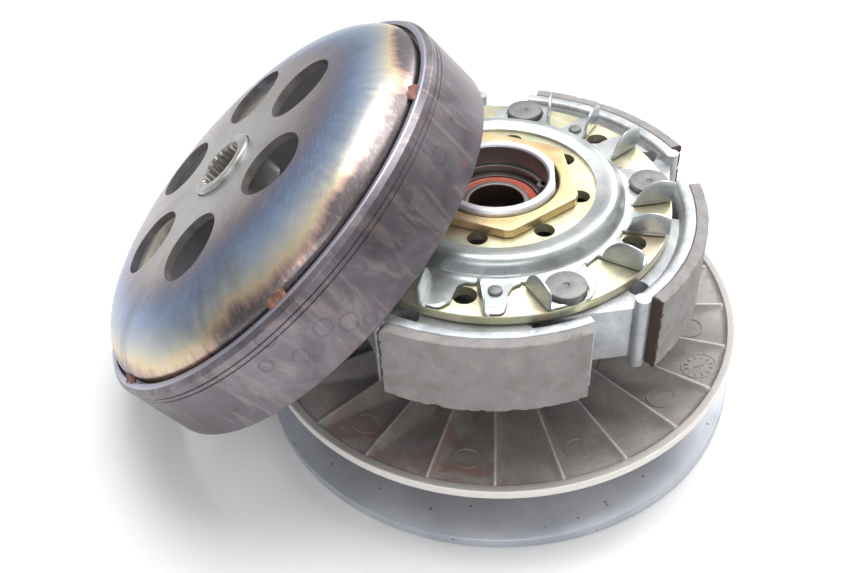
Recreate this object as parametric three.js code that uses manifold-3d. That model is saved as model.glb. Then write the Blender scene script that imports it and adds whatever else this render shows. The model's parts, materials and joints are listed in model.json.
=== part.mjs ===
// Driven pulley of a scooter's belt drive, with its centrifugal clutch, and the clutch's bell lying
// against it. Millimetres, +Z up. The pulley lies with its axis vertical on the fixed sheave's rim.
// The origin is under the middle of the whole set's box, on the surface that it stands on.

import * as THREE from 'three';
import { mergeVertices } from 'three/addons/utils/BufferGeometryUtils.js';
import Module from 'manifold-3d';

const wasm = await Module();
wasm.setup();

const GAP = 0.3; // clearance between pieces that touch on the real set
const LARGE_ROUND = 40; // facets round the sheaves and the bell's drum
const DEG = Math.PI / 180;

// Belt groove
const RIM_R = 93.6;
const CONE_SLOPE = Math.tan(13.5 * DEG);
const CONE_INNER_R = 45.5;
const FIXED_RIM_TOP = 4.5;
const MOVABLE_RIM_BOTTOM = 27.8;
const MOVABLE_RIM_TOP = 31.2;
const LAND_Z = FIXED_RIM_TOP + (RIM_R - CONE_INNER_R) * CONE_SLOPE;
const RIB_COUNT = 24;
const RIB_THICKNESS = 1.6;
const RIB_HEIGHT = 8;

// Hub tube and its bearings
const TUBE_R = 24;
const THREAD_R = 22.5;
const THREAD_BOTTOM = 84.7;
const TUBE_TOP = 93.8;
const BEARING_BORE_R = 18.6;
const BEARING_Z = 73;
const BEARING_HEIGHT = 9;
const SHAFT_R = 10;
const NEEDLE_BORE_R = 14.6;
const NEEDLE_LENGTH = 18;

// Cam that turns the movable sheave as it slides
const CAM_COUNT = 3;
const CAM_ANGLE = 40 * DEG;
const TRAVEL = 18;
const ROLLER_R = 4;
const ROLLER_Z = 44;
const SLEEVE_OUTER_R = 29;
const SLEEVE_TOP = 50;
const HUB_OUTER_R = 31.9;
const HUB_TOP = 45;
const COLLAR_R = 34.8;

// Drive plate, fan plate and nut
const PLATE_R = 63.2;
const PLATE_TOP = 83.3;
const PLATE_THICKNESS = 3.5;
const PLATE_BOTTOM = PLATE_TOP - PLATE_THICKNESS;
const DISH_HEIGHT = 5.2;
const FAN_THICKNESS = 1;
const FAN_BOTTOM = PLATE_TOP + GAP;
const FAN_TOP = FAN_BOTTOM + FAN_THICKNESS;
const FAN_TAB_R = 62.6;
const FAN_TABS = [[-8.5, 8.5, 4], [-27.8, -20.5, 2], [-47.2, -39.5, 2]]; // degrees from a pin, facets
const RIVET_R = 2;
const RIVET_CIRCLE_R = 52.5;
const RIVET_LAG = 24.3; // angle from a pin to the next rivet
const NUT_ACROSS_FLATS = 54;
const NUT_THICKNESS = 3.4;
const NUT_TURN = -21.2; // angle of one corner

// Clutch: five shoes, each on a pivot pin
const SHOE_COUNT = 5;
const SHOE_PITCH = 360 / SHOE_COUNT;
const PIN_CIRCLE_R = 56;
const PIN_R = 5;
const PIN_ANGLE = 6.1;
const SHOE_LAG = 43.6; // angle from a shoe's pin to the middle of its lining
const SHOE_SPAN = 56;
const LINING_SPAN = 51.2;
const LINING_R = 79.2;
const LINING_THICKNESS = 4.1;
const WALL_THICKNESS = 4.2;
const SHOE_BOTTOM = 53.5;
const SHOE_HEIGHT = 29.8;
const SPRING_CIRCLE_R = 60;
const SPRING_LEAD = 10; // angle from the middle of a shoe's lining to its return spring
const SPRING_Z = 54.4;
const REST_SWING = [2, 4.2, 2.8, 3.5, 3.5]; // how far each shoe hangs in from its working circle

// Bell
const BELL_MOUTH = new THREE.Vector3(-70.5, 5.8, 58.9);
const BELL_AXIS = new THREE.Vector3(-0.6387, -0.0206, 0.7692).normalize();
const DRUM_R = 86.5;
const DRUM_BORE_R = 81.5;
const DRUM_LENGTH = 29.5;
const DOME_R = 81.6;
const DOME_EDGE = 30.4;
const DOME_RISE = 16.3;
const DOME_THICKNESS = 3;
const DOME_HOLES = 6;
const DOME_HOLE_R = 40.5;
const DOME_HOLE_ANGLE = 20.4;
const BELL_HUB_R = 13.8;
const BELL_HUB_TOP = 48.2;
const SPLINE_TEETH = 22;

const colours = {
  steel: [0x8d8f94, 0.35, 0.9],
  polished: [0xb4b6ba, 0.2, 1.0],
  zinc: [0xc9c3a0, 0.35, 0.9],
  gold: [0xc8ab62, 0.35, 0.9],
  silver: [0xbfc3c6, 0.35, 0.9],
  castDark: [0x6f6965, 0.55, 0.8],
  castLight: [0xa9abad, 0.5, 0.8],
  lining: [0x8b8781, 0.9, 0.0],
  blued: [0x7f7c86, 0.35, 0.9],
  pin: [0x77777a, 0.5, 0.8],
  rubber: [0x2b2b2b, 0.8, 0.0],
  seal: [0xc4573c, 0.6, 0.0],
};

// ---- helpers ----

function material(name) {
  const [color, roughness, metalness] = colours[name];
  return new THREE.MeshStandardMaterial({ color, roughness, metalness });
}

function piece(name, geometry, finish) {
  const mesh = new THREE.Mesh(geometry, material(finish));
  mesh.name = name;
  return mesh;
}

function polar(radius, degrees) {
  return new THREE.Vector2(radius * Math.cos(degrees * DEG), radius * Math.sin(degrees * DEG));
}

// A closed outline of [radius, z] pairs turned about the Z axis
function turned(outline, segments = 24) {
  const points = [...outline, outline[0]].map(([r, z]) => new THREE.Vector2(r, z));
  const geometry = new THREE.LatheGeometry(points, segments);
  geometry.rotateX(Math.PI / 2);
  return geometry;
}

function ring(inner, outer, bottom, top, segments) {
  return turned([[inner, bottom], [outer, bottom], [outer, top], [inner, top]], segments);
}

function extruded(points, bottom, top) {
  const depth = top - bottom;
  const geometry = new THREE.ExtrudeGeometry(new THREE.Shape(points), { depth, bevelEnabled: false });
  geometry.translate(0, 0, bottom);
  return geometry;
}

function cylinder(radius, bottom, top, x = 0, y = 0, segments = 12) {
  const geometry = new THREE.CylinderGeometry(radius, radius, top - bottom, segments);
  geometry.rotateX(Math.PI / 2);
  geometry.translate(x, y, (top + bottom) / 2);
  return geometry;
}

// A cutter whose flats, not its corners, lie at the radius
function hole(radius, bottom, top, x = 0, y = 0, segments = 12) {
  return cylinder(radius / Math.cos(Math.PI / segments), bottom, top, x, y, segments);
}

// Points along an arc, degrees
function arc(radius, from, to, steps) {
  const points = [];
  for (let i = 0; i <= steps; i += 1) points.push(polar(radius, from + ((to - from) * i) / steps));
  return points;
}

function sector(inner, outer, from, to, bottom, top, steps) {
  return extruded([...arc(outer, from, to, steps), ...arc(inner, to, from, steps)], bottom, top);
}

function solid(geometry) {
  const bare = geometry.clone();
  bare.deleteAttribute('normal');
  bare.deleteAttribute('uv');
  const merged = mergeVertices(bare, 1e-4);
  const vertProperties = new Float32Array(merged.attributes.position.array);
  const triVerts = new Uint32Array(merged.index.array);
  return new wasm.Manifold(new wasm.Mesh({ numProp: 3, vertProperties, triVerts }));
}

function geometryOf(manifold) {
  const mesh = manifold.getMesh();
  const geometry = new THREE.BufferGeometry();
  geometry.setAttribute('position', new THREE.BufferAttribute(new Float32Array(mesh.vertProperties), 3));
  geometry.setIndex(new THREE.BufferAttribute(new Uint32Array(mesh.triVerts), 1));
  geometry.computeVertexNormals();
  return geometry;
}

function carve(base, { add = [], cut = [] }) {
  let result = solid(base);
  for (const extra of add) result = result.add(solid(extra));
  for (const hole of cut) result = result.subtract(solid(hole));
  return geometryOf(result);
}

// Bends a flat slab (x along the circumference, y along the axis, z along the radius) round the Z axis
function wrapped(geometry, radius) {
  const position = geometry.attributes.position;
  for (let i = 0; i < position.count; i += 1) {
    const angle = position.getX(i) / radius;
    const r = position.getZ(i);
    position.setXYZ(i, r * Math.cos(angle), r * Math.sin(angle), position.getY(i));
  }
  return geometry;
}

class Helix extends THREE.Curve {
  constructor(radius, bottom, top, turns) {
    super();
    Object.assign(this, { radius, bottom, top, turns });
  }

  getPoint(t, target = new THREE.Vector3()) {
    const angle = t * this.turns * 2 * Math.PI;
    const z = this.bottom + t * (this.top - this.bottom);
    return target.set(this.radius * Math.cos(angle), this.radius * Math.sin(angle), z);
  }
}

function wire(curve, radius, steps, sides = 8) {
  const section = new THREE.Shape();
  for (let i = 0; i < sides; i += 1) {
    const angle = (i * 2 * Math.PI) / sides;
    const [x, y] = [radius * Math.cos(angle), radius * Math.sin(angle)];
    if (i === 0) section.moveTo(x, y);
    else section.lineTo(x, y);
  }
  return new THREE.ExtrudeGeometry(section, { steps, extrudePath: curve, bevelEnabled: false });
}

// ---- sheaves ----

function fixedSheave() {
  const bore = TUBE_R + GAP;
  return piece('fixed_sheave', turned([
    [bore, 0.8], [33, 0.8], [37, 9.6], [84, 1.6], [86, 0], [93, 0], [RIM_R, 0.6],
    [RIM_R, FIXED_RIM_TOP], [CONE_INNER_R, LAND_Z], [bore, LAND_Z],
  ], LARGE_ROUND), 'steel');
}

function movableSheave() {
  const rim = RIM_R - 0.6;
  const face = MOVABLE_RIM_BOTTOM - (rim - CONE_INNER_R) * CONE_SLOPE;
  const shoulder = 29.5;
  const body = turned([
    [SLEEVE_OUTER_R + GAP, face], [CONE_INNER_R, face], [rim, MOVABLE_RIM_BOTTOM],
    [rim, MOVABLE_RIM_TOP], [90, MOVABLE_RIM_TOP], [88.5, MOVABLE_RIM_TOP - 2.4],
    [51, 21.5], [48, 24], [48, shoulder], [HUB_OUTER_R, shoulder],
    [HUB_OUTER_R, HUB_TOP], [SLEEVE_OUTER_R + GAP, HUB_TOP],
  ], LARGE_ROUND);
  const ribStart = 47;
  const ribEnd = 89.5;
  const ribs = [];
  for (let i = 0; i < RIB_COUNT; i += 1) {
    const rib = new THREE.BoxGeometry(ribEnd - ribStart, RIB_THICKNESS, RIB_HEIGHT);
    rib.translate((ribStart + ribEnd) / 2, 0, MOVABLE_RIM_TOP - 0.4 - RIB_HEIGHT / 2);
    const wedge = carve(rib, { cut: [ribUnderside()] });
    wedge.rotateZ((i * 2 * Math.PI) / RIB_COUNT);
    ribs.push(wedge);
  }
  return piece('movable_sheave', carve(body, { add: ribs }), 'castDark');
}

// What is cut off a rib so that its foot stays inside the sheave's sloping web
function ribUnderside() {
  const under = new THREE.Shape([
    new THREE.Vector2(40, 10), new THREE.Vector2(96, 10), new THREE.Vector2(96, 29.6),
    new THREE.Vector2(40, 17.6),
  ]);
  const geometry = new THREE.ExtrudeGeometry(under, { depth: 6, bevelEnabled: false });
  geometry.rotateX(Math.PI / 2);
  geometry.translate(0, 3, 0);
  return geometry;
}

function camSleeve() {
  const bottom = LAND_Z + 0.35;
  const tube = ring(TUBE_R + GAP, SLEEVE_OUTER_R, bottom, SLEEVE_TOP, 24);
  const slots = [];
  for (let i = 0; i < CAM_COUNT; i += 1) {
    const slot = camSlot();
    slot.rotateZ((i * 2 * Math.PI) / CAM_COUNT);
    slots.push(slot);
  }
  return piece('cam_sleeve', carve(tube, { cut: slots }), 'polished');
}

// The slanting slot that a roller runs in, from its place with the sheaves closed to full travel
function camSlot() {
  const half = ROLLER_R + 0.5;
  const run = TRAVEL * Math.tan(CAM_ANGLE);
  const lean = Math.atan2(-TRAVEL, -run);
  const steps = 5;
  const points = [];
  const side = (t, angle) => points.push(new THREE.Vector2(
    -run * t + half * Math.cos(lean + angle),
    ROLLER_Z - TRAVEL * t + half * Math.sin(lean + angle),
  ));
  for (let i = 0; i <= steps; i += 1) side(0, Math.PI / 2 + (i * Math.PI) / steps);
  for (let i = 1; i < steps; i += 1) side(i / steps, -Math.PI / 2);
  for (let i = 0; i <= steps; i += 1) side(1, -Math.PI / 2 + (i * Math.PI) / steps);
  for (let i = steps - 1; i > 0; i -= 1) side(i / steps, Math.PI / 2);
  const slab = new THREE.ExtrudeGeometry(new THREE.Shape(points), { depth: 10, bevelEnabled: false });
  slab.translate(0, 0, TUBE_R - 2);
  return wrapped(slab, (TUBE_R + SLEEVE_OUTER_R) / 2);
}

function guides() {
  const pieces = [];
  for (let i = 0; i < CAM_COUNT; i += 1) {
    const turn = (i * 2 * Math.PI) / CAM_COUNT;
    const parts = [
      piece(`guide_pin_${i + 1}`, cylinder(2.5, 20.3, SLEEVE_OUTER_R), 'polished'),
      piece(`guide_roller_${i + 1}`, ring(2.5 + GAP, ROLLER_R, TUBE_R + 0.5, 28.8, 12), 'steel'),
    ];
    for (const part of parts) {
      part.geometry.rotateY(Math.PI / 2);
      part.geometry.translate(0, 0, ROLLER_Z);
      part.rotation.z = turn;
      pieces.push(part);
    }
  }
  return pieces;
}

// ---- spring and seals between sheave and clutch ----

function springParts() {
  const seatTop = 31.5;
  const seatZ = 76;
  const springR = 41;
  const wireR = 2.5;
  const collar = turned([
    [COLLAR_R, 29.8], [46.5, 29.8], [46.5, seatTop], [36, seatTop], [36, 55], [COLLAR_R, 55],
  ]);
  const seat = turned([
    [TUBE_R + GAP, seatZ], [33, seatZ], [33, seatZ - 3], [36, seatZ - 3], [36, seatZ],
    [46, seatZ], [46, PLATE_BOTTOM - GAP], [TUBE_R + GAP, PLATE_BOTTOM - GAP],
  ]);
  const coil = new Helix(springR, seatTop + GAP + wireR, seatZ - GAP - wireR, 4.5);
  return [
    piece('seal_collar', collar, 'silver'),
    piece('upper_spring_seat', seat, 'steel'),
    piece('main_spring', wire(coil, wireR, 60, 6), 'steel'),
    piece('o_ring_lower', ring(32.2, 34.5, 33.2, 35.8), 'rubber'),
    piece('o_ring_upper', ring(32.2, 34.5, 39.7, 42.3), 'rubber'),
    piece('grease_seal', ring(TUBE_R + GAP, 34.5, SLEEVE_TOP + GAP, 53.5), 'rubber'),
  ];
}

// ---- hub tube and bearings ----

function hubTube() {
  const groove = 84.1;
  const tube = turned([
    [NEEDLE_BORE_R + GAP, 0.5], [TUBE_R, 0.5], [TUBE_R, THREAD_BOTTOM], [THREAD_R, THREAD_BOTTOM],
    [THREAD_R, TUBE_TOP - 0.8], [THREAD_R - 0.8, TUBE_TOP], [BEARING_BORE_R + 0.6, TUBE_TOP],
    [BEARING_BORE_R, TUBE_TOP - 0.6], [BEARING_BORE_R, groove + 1.8], [19.7, groove + 1.8],
    [19.7, groove], [BEARING_BORE_R, groove], [BEARING_BORE_R, BEARING_Z - GAP],
    [16.5, BEARING_Z - GAP], [16.5, BEARING_Z - 4], [20, BEARING_Z - 8], [20, 24],
    [NEEDLE_BORE_R + GAP, 20.5],
  ], 28);
  const cuts = [];
  for (const side of [-1, 1]) {
    const flat = new THREE.BoxGeometry(4, 50, 20);
    flat.translate(side * (20.9 + 2), 0, THREAD_BOTTOM + 10);
    cuts.push(flat);
  }
  for (let i = 0; i < CAM_COUNT; i += 1) {
    const pinHole = hole(2.5 + GAP, 17, 27);
    pinHole.rotateY(Math.PI / 2);
    pinHole.translate(0, 0, ROLLER_Z);
    pinHole.rotateZ((i * 2 * Math.PI) / CAM_COUNT);
    cuts.push(pinHole);
  }
  return piece('hub_tube', carve(tube, { cut: cuts }), 'polished');
}

function bearings() {
  const top = BEARING_Z + BEARING_HEIGHT;
  const outer = BEARING_BORE_R - GAP;
  const cageZ = BEARING_Z + BEARING_HEIGHT / 2;
  const balls = [];
  for (let i = 0; i < 9; i += 1) {
    const ball = new THREE.SphereGeometry(2, 6, 5);
    const [x, y] = polar(14, i * 40).toArray();
    ball.translate(x, y, cageZ);
    balls.push(ball);
  }
  const cage = carve(ring(13.5, 14.5, cageZ - 1.2, cageZ + 1.2, 18), { add: balls });
  const outerRing = turned([
    [15.7, BEARING_Z], [outer, BEARING_Z], [outer, top], [15.7, top], [15.7, cageZ + 1.8],
    [16.4, cageZ], [15.7, cageZ - 1.8],
  ]);
  const innerRing = turned([
    [SHAFT_R, BEARING_Z], [12.3, BEARING_Z], [12.3, cageZ - 1.8], [11.6, cageZ],
    [12.3, cageZ + 1.8], [12.3, top], [SHAFT_R, top],
  ]);
  const clip = sector(17.2, 19.4, 14, 346, 84.4, 85.6, 14);
  const needles = turned([
    [SHAFT_R + 0.3, 1], [NEEDLE_BORE_R, 1], [NEEDLE_BORE_R, 1 + NEEDLE_LENGTH],
    [SHAFT_R + 0.3, 1 + NEEDLE_LENGTH],
  ]);
  return [
    piece('bearing_outer_ring', outerRing, 'polished'),
    piece('bearing_inner_ring', innerRing, 'polished'),
    piece('bearing_ball_cage', cage, 'steel'),
    piece('bearing_seal', ring(12.6, 15.4, top - 1.4, top - 0.5), 'seal'),
    piece('snap_ring', clip, 'polished'),
    piece('needle_bearing', needles, 'steel'),
  ];
}

// ---- drive plate, fan plate and nut ----

function drivePlate() {
  const top = PLATE_TOP + DISH_HEIGHT;
  const plate = turned([
    [THREAD_R + GAP, top - PLATE_THICKNESS], [37, top - PLATE_THICKNESS], [42, PLATE_BOTTOM],
    [PLATE_R, PLATE_BOTTOM], [PLATE_R, PLATE_TOP - 0.4], [PLATE_R - 0.4, PLATE_TOP],
    [43.8, PLATE_TOP], [38.5, top], [THREAD_R + GAP, top],
  ], 30);
  const cuts = [];
  for (let i = 0; i < SHOE_COUNT; i += 1) {
    const angle = PIN_ANGLE + i * SHOE_PITCH;
    cuts.push(plateHole(PIN_R + GAP, PIN_CIRCLE_R, angle));
    cuts.push(plateHole(RIVET_R + GAP, RIVET_CIRCLE_R, angle - RIVET_LAG));
    cuts.push(plateHole(4.2, 54, angle - 35));
  }
  for (let i = 0; i < 8; i += 1) cuts.push(plateHole(3.6, 30.4, -12 + i * 45));
  return piece('drive_plate', carve(plate, { cut: cuts }), 'zinc');
}

function plateHole(radius, circle, degrees, segments = 8) {
  const at = polar(circle, degrees);
  return hole(radius, PLATE_BOTTOM - 2, PLATE_TOP + 10, at.x, at.y, segments);
}

function fanPlate() {
  const crest = [[36, 88.9], [39, 89.3], [41.5, 89.6], [43.4, 88.6], [45, 85.6], [46.5, FAN_BOTTOM]];
  const upper = crest.map(([r, z], i) => [r + (i > 2 ? 0.8 : 0), z + (i > 4 ? 1 : 0.9)]).reverse();
  const dish = turned([...crest, [50, FAN_BOTTOM], [50, FAN_TOP], ...upper], 30);
  const add = [];
  const cut = [];
  for (let i = 0; i < SHOE_COUNT; i += 1) {
    const pin = PIN_ANGLE + i * SHOE_PITCH;
    for (const [from, to, steps] of FAN_TABS) {
      add.push(sector(49, FAN_TAB_R, pin + from, pin + to, FAN_BOTTOM, FAN_TOP, steps));
      add.push(fin(pin + from));
    }
    cut.push(plateHole(PIN_R + GAP, PIN_CIRCLE_R, pin));
    cut.push(plateHole(RIVET_R + GAP, RIVET_CIRCLE_R, pin - RIVET_LAG));
  }
  return piece('fan_plate', carve(dish, { add, cut }), 'silver');
}

// A half-moon blade folded up along a tab's edge, its foot leaning from the radius
function fin(degrees) {
  const points = [];
  const length = 13.6;
  const height = 9.4;
  for (let i = 0; i <= 6; i += 1) {
    const angle = (i * Math.PI) / 6;
    const x = (length / 2) * (1 - Math.cos(angle));
    points.push(new THREE.Vector2(x, height * Math.sin(angle) ** 0.7));
  }
  const blade = new THREE.ExtrudeGeometry(new THREE.Shape(points), { depth: 1, bevelEnabled: false });
  blade.rotateX(Math.PI / 2);
  blade.rotateZ(17 * DEG);
  const foot = polar(49.4, degrees - 3.6);
  blade.rotateZ(degrees * DEG);
  blade.translate(foot.x, foot.y, FAN_BOTTOM);
  return blade;
}

function lockNut() {
  const bottom = PLATE_TOP + DISH_HEIGHT + GAP;
  const corner = NUT_ACROSS_FLATS / 2 / Math.cos(30 * DEG);
  const hexagon = extruded(arc(corner, 0, 300, 5), bottom, bottom + NUT_THICKNESS);
  hexagon.rotateZ(NUT_TURN * DEG);
  const rounding = turned([
    [0, bottom - 1], [30.9, bottom - 1], [30.9, bottom + NUT_THICKNESS - 0.6],
    [30, bottom + NUT_THICKNESS + 0.1], [0, bottom + NUT_THICKNESS + 0.1],
  ], 30);
  const blank = solid(hexagon).intersect(solid(rounding));
  const bore = hole(THREAD_R + GAP, bottom - 2, bottom + 9, 0, 0, 30);
  return piece('lock_nut', geometryOf(blank.subtract(solid(bore))), 'gold');
}

function pivotPins() {
  const headBottom = FAN_TOP + GAP;
  const clipZ = 58;
  const pieces = [];
  for (let i = 0; i < SHOE_COUNT; i += 1) {
    const at = polar(PIN_CIRCLE_R, PIN_ANGLE + i * SHOE_PITCH);
    const pin = piece(`pivot_pin_${i + 1}`, turned([
      [0, 57], [PIN_R, 57], [PIN_R, clipZ], [4, clipZ], [4, clipZ + 1.4], [PIN_R, clipZ + 1.4],
      [PIN_R, headBottom], [6.9, headBottom], [6.9, headBottom + 1.4], [6.3, headBottom + 2],
      [0, headBottom + 2],
    ], 10), 'pin');
    const clip = piece(`pin_clip_${i + 1}`, sector(4.5, 7.4, 25, 335, clipZ + 0.2, clipZ + 1.2, 8), 'steel');
    const rivetAt = polar(RIVET_CIRCLE_R, PIN_ANGLE + i * SHOE_PITCH - RIVET_LAG);
    const rivet = piece(`plate_rivet_${i + 1}`, turned([
      [0, PLATE_BOTTOM - 1.5], [2.8, PLATE_BOTTOM - 1.5], [2.8, PLATE_BOTTOM - GAP],
      [RIVET_R, PLATE_BOTTOM - GAP], [RIVET_R, headBottom], [2.5, headBottom], [2, headBottom + 1.4],
      [0, headBottom + 1.4],
    ], 8), 'pin');
    pin.position.set(at.x, at.y, 0);
    clip.position.set(at.x, at.y, 0);
    rivet.position.set(rivetAt.x, rivetAt.y, 0);
    pieces.push(pin, clip, rivet);
  }
  return pieces;
}

// ---- clutch shoes ----

// A shoe is drawn with the middle of its lining at angle 0 and its faces true to the pulley's axis
function shoeGeometry() {
  const wallOuter = LINING_R - LINING_THICKNESS - GAP;
  const wallInner = wallOuter - WALL_THICKNESS;
  const top = SHOE_BOTTOM + SHOE_HEIGHT;
  const half = SHOE_SPAN / 2;
  const wall = sector(wallInner, wallOuter, -half, half, SHOE_BOTTOM, top, 8);
  const web = extruded([
    polar(63.6, -SHOE_LAG), polar(66, -38.6), polar(wallInner + 1, -29.6), ...arc(wallInner + 1, -half, 15, 5),
    polar(66.2, 14), polar(63, 4), polar(59, -10), polar(54, -26), polar(49, -40), polar(48, -SHOE_LAG),
  ], 60, PLATE_BOTTOM - 0.5);
  const pin = polar(PIN_CIRCLE_R, -SHOE_LAG);
  const boss = cylinder(8, 60, PLATE_BOTTOM - 0.5, pin.x, pin.y, 12);
  const bore = hole(PIN_R + GAP, 50, 90, pin.x, pin.y, 10);
  const recess = polar(66.6, -22);
  const recessHole = hole(3, 68, 90, recess.x, recess.y, 8);
  return carve(wall, { add: [web, boss], cut: [bore, recessHole, cornerCut(half)] });
}

function liningGeometry() {
  const half = LINING_SPAN / 2;
  const top = SHOE_BOTTOM + SHOE_HEIGHT;
  const arcPiece = sector(LINING_R - LINING_THICKNESS, LINING_R, -half, half, SHOE_BOTTOM, top, 8);
  return carve(arcPiece, { cut: [cornerCut(half)] });
}

// Takes the top corner off the end nearest the pin, where the bell's lip comes close
function cornerCut(half) {
  const leg = 2;
  const size = 12;
  const offset = (size / 2 - leg / Math.SQRT2) / Math.SQRT2;
  const cutter = new THREE.BoxGeometry(24, size, size);
  cutter.rotateX(45 * DEG);
  cutter.translate(LINING_R - 6, -offset, SHOE_BOTTOM + SHOE_HEIGHT + offset);
  cutter.rotateZ(-half * DEG);
  return cutter;
}

// Outer shape of a return spring under the shoes: its close-wound body and a straight hook each end
function clutchSpringGeometry() {
  const length = 26;
  const reach = 5;
  const radius = 2.2;
  const outline = [
    [0, -reach], [0.7, -reach], [0.7, 0], [radius, 0.6], [radius, length - 0.6], [0.7, length],
    [0.7, length + reach], [0, length + reach],
  ];
  const geometry = turned(outline, 6);
  geometry.translate(0, 0, -length / 2);
  geometry.rotateY(Math.PI / 2);
  return geometry;
}

function shoes() {
  const pieces = [];
  const pin = polar(PIN_CIRCLE_R, -SHOE_LAG);
  for (let i = 0; i < SHOE_COUNT; i += 1) {
    const number = i + 1;
    const middle = new THREE.Group();
    middle.rotation.z = (PIN_ANGLE - i * SHOE_PITCH + SHOE_LAG) * DEG;
    const pivot = new THREE.Group();
    pivot.position.set(pin.x, pin.y, 0);
    pivot.rotation.z = REST_SWING[i] * DEG;
    for (const part of [
      piece(`shoe_${number}`, shoeGeometry(), 'castLight'),
      piece(`lining_${number}`, liningGeometry(), 'lining'),
    ]) {
      part.position.set(-pin.x, -pin.y, 0);
      pivot.add(part);
    }
    middle.add(pivot);
    pieces.push(middle);
    const spring = piece(`clutch_spring_${number}`, clutchSpringGeometry(), 'gold');
    const springAngle = PIN_ANGLE - i * SHOE_PITCH + SHOE_LAG + SPRING_LEAD;
    const at = polar(SPRING_CIRCLE_R, springAngle);
    spring.position.set(at.x, at.y, SPRING_Z);
    spring.rotation.z = (springAngle + 90) * DEG;
    pieces.push(spring);
  }
  return pieces;
}

// ---- bell, drawn about its own axis from the mouth towards the closed end ----

function domeHeight(radius) {
  return DOME_EDGE + DOME_RISE * Math.max(0, 1 - (radius / DOME_R) ** 5) ** 0.69;
}

function bellDome() {
  const radii = [14.2, 28, 54, 62, 69, 75, 79.5];
  const outer = radii.map((r) => [r, domeHeight(r)]);
  const inner = radii.map((r) => [r - (r > 50 ? (r - 50) * 0.093 : 0), domeHeight(r) - DOME_THICKNESS]);
  const shell = turned([
    ...inner, [DOME_R - DOME_THICKNESS, 26.8], [DOME_R, 26.8], [DOME_R, DOME_EDGE], ...outer.reverse(),
  ], 36);
  const cut = [];
  for (let i = 0; i < DOME_HOLES; i += 1) {
    const oval = cylinder(1, 30, 60);
    oval.scale(14, 13.3, 1);
    oval.translate(DOME_HOLE_R, 0, 0);
    oval.rotateZ((DOME_HOLE_ANGLE + (i * 360) / DOME_HOLES) * DEG);
    cut.push(oval);
  }
  return piece('bell_dome', carve(shell, { cut }), 'blued');
}

function bellDrum() {
  return piece('bell_drum', turned([
    [DRUM_BORE_R, 0], [DRUM_R, 0], [DRUM_R, 27.6],
    [84.4, DRUM_LENGTH], [82.8, DRUM_LENGTH], [82.8, 26.5], [DRUM_BORE_R, 26.5],
  ], LARGE_ROUND), 'blued');
}

function bellHub() {
  const blank = turned([
    [8, 30], [12.6, 30], [12.6, 38], [19, 40.5], [19, 43.4], [BELL_HUB_R, 43.4],
    [BELL_HUB_R, BELL_HUB_TOP - 0.5], [BELL_HUB_R - 0.5, BELL_HUB_TOP], [8, BELL_HUB_TOP],
  ], 24);
  const points = [];
  for (let i = 0; i < SPLINE_TEETH * 4; i += 1) {
    const radius = i % 4 < 2 ? 9.6 : 8.7;
    points.push(polar(radius, (i * 360) / SPLINE_TEETH / 4));
  }
  return piece('bell_hub', carve(blank, { cut: [extruded(points, 10, 60)] }), 'steel');
}

function bell() {
  const group = new THREE.Group();
  group.add(bellDome(), bellDrum(), bellHub());
  group.position.copy(BELL_MOUTH);
  group.quaternion.setFromUnitVectors(new THREE.Vector3(0, 0, 1), BELL_AXIS);
  return group;
}

// ---- the set ----

const set = new THREE.Group();
set.add(fixedSheave(), movableSheave(), camSleeve(), hubTube(), drivePlate(), fanPlate(), lockNut());
set.add(...guides(), ...springParts(), ...bearings(), ...pivotPins(), ...shoes(), bell());

set.updateMatrixWorld(true);
const box = new THREE.Box3().setFromObject(set, true);
const centre = box.getCenter(new THREE.Vector3());
set.position.set(-centre.x, -centre.y, -box.min.z);

const root = new THREE.Group();
root.add(set);

export default root;
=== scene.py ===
"""Looks of a scooter's driven pulley with its centrifugal clutch, and the clutch bell leaning on it.

Pulley pieces are drawn in millimetres about the pulley's axis, bell pieces about the bell's own axis
from its mouth towards its closed end. Each object stands at its axis, so that a material can read the
distance from the axis and the angle round it.
"""

import json
import math

import bmesh
import bpy
from mathutils import Matrix, Vector, noise


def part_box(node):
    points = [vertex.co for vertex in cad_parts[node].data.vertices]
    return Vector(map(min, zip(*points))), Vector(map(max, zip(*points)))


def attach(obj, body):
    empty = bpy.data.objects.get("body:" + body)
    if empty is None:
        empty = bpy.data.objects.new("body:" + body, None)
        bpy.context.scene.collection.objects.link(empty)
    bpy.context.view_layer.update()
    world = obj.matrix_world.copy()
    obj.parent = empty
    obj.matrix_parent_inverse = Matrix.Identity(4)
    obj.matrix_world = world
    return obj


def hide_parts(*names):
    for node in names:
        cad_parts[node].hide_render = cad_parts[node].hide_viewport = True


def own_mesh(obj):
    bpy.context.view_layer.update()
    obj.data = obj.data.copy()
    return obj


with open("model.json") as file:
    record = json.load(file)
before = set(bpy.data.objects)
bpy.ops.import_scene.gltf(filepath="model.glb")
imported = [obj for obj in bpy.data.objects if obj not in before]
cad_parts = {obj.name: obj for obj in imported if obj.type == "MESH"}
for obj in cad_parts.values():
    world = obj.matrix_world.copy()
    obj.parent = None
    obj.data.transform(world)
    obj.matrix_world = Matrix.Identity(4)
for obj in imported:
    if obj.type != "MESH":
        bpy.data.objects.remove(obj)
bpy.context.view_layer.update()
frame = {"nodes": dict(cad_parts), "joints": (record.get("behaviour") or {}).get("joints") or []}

MM = 0.001

# Sheaves
RIM_R = 93.5
FIXED_RIM_TOP = 4.5
LAND_Z = 16.0
MOVABLE_RIM_BOTTOM = 27.8
MOVABLE_RIM_TOP = 31.2
MOVABLE_FACE_Z = 16.4
RIB_COUNT = 24
RIB_TOP = 30.9

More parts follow.
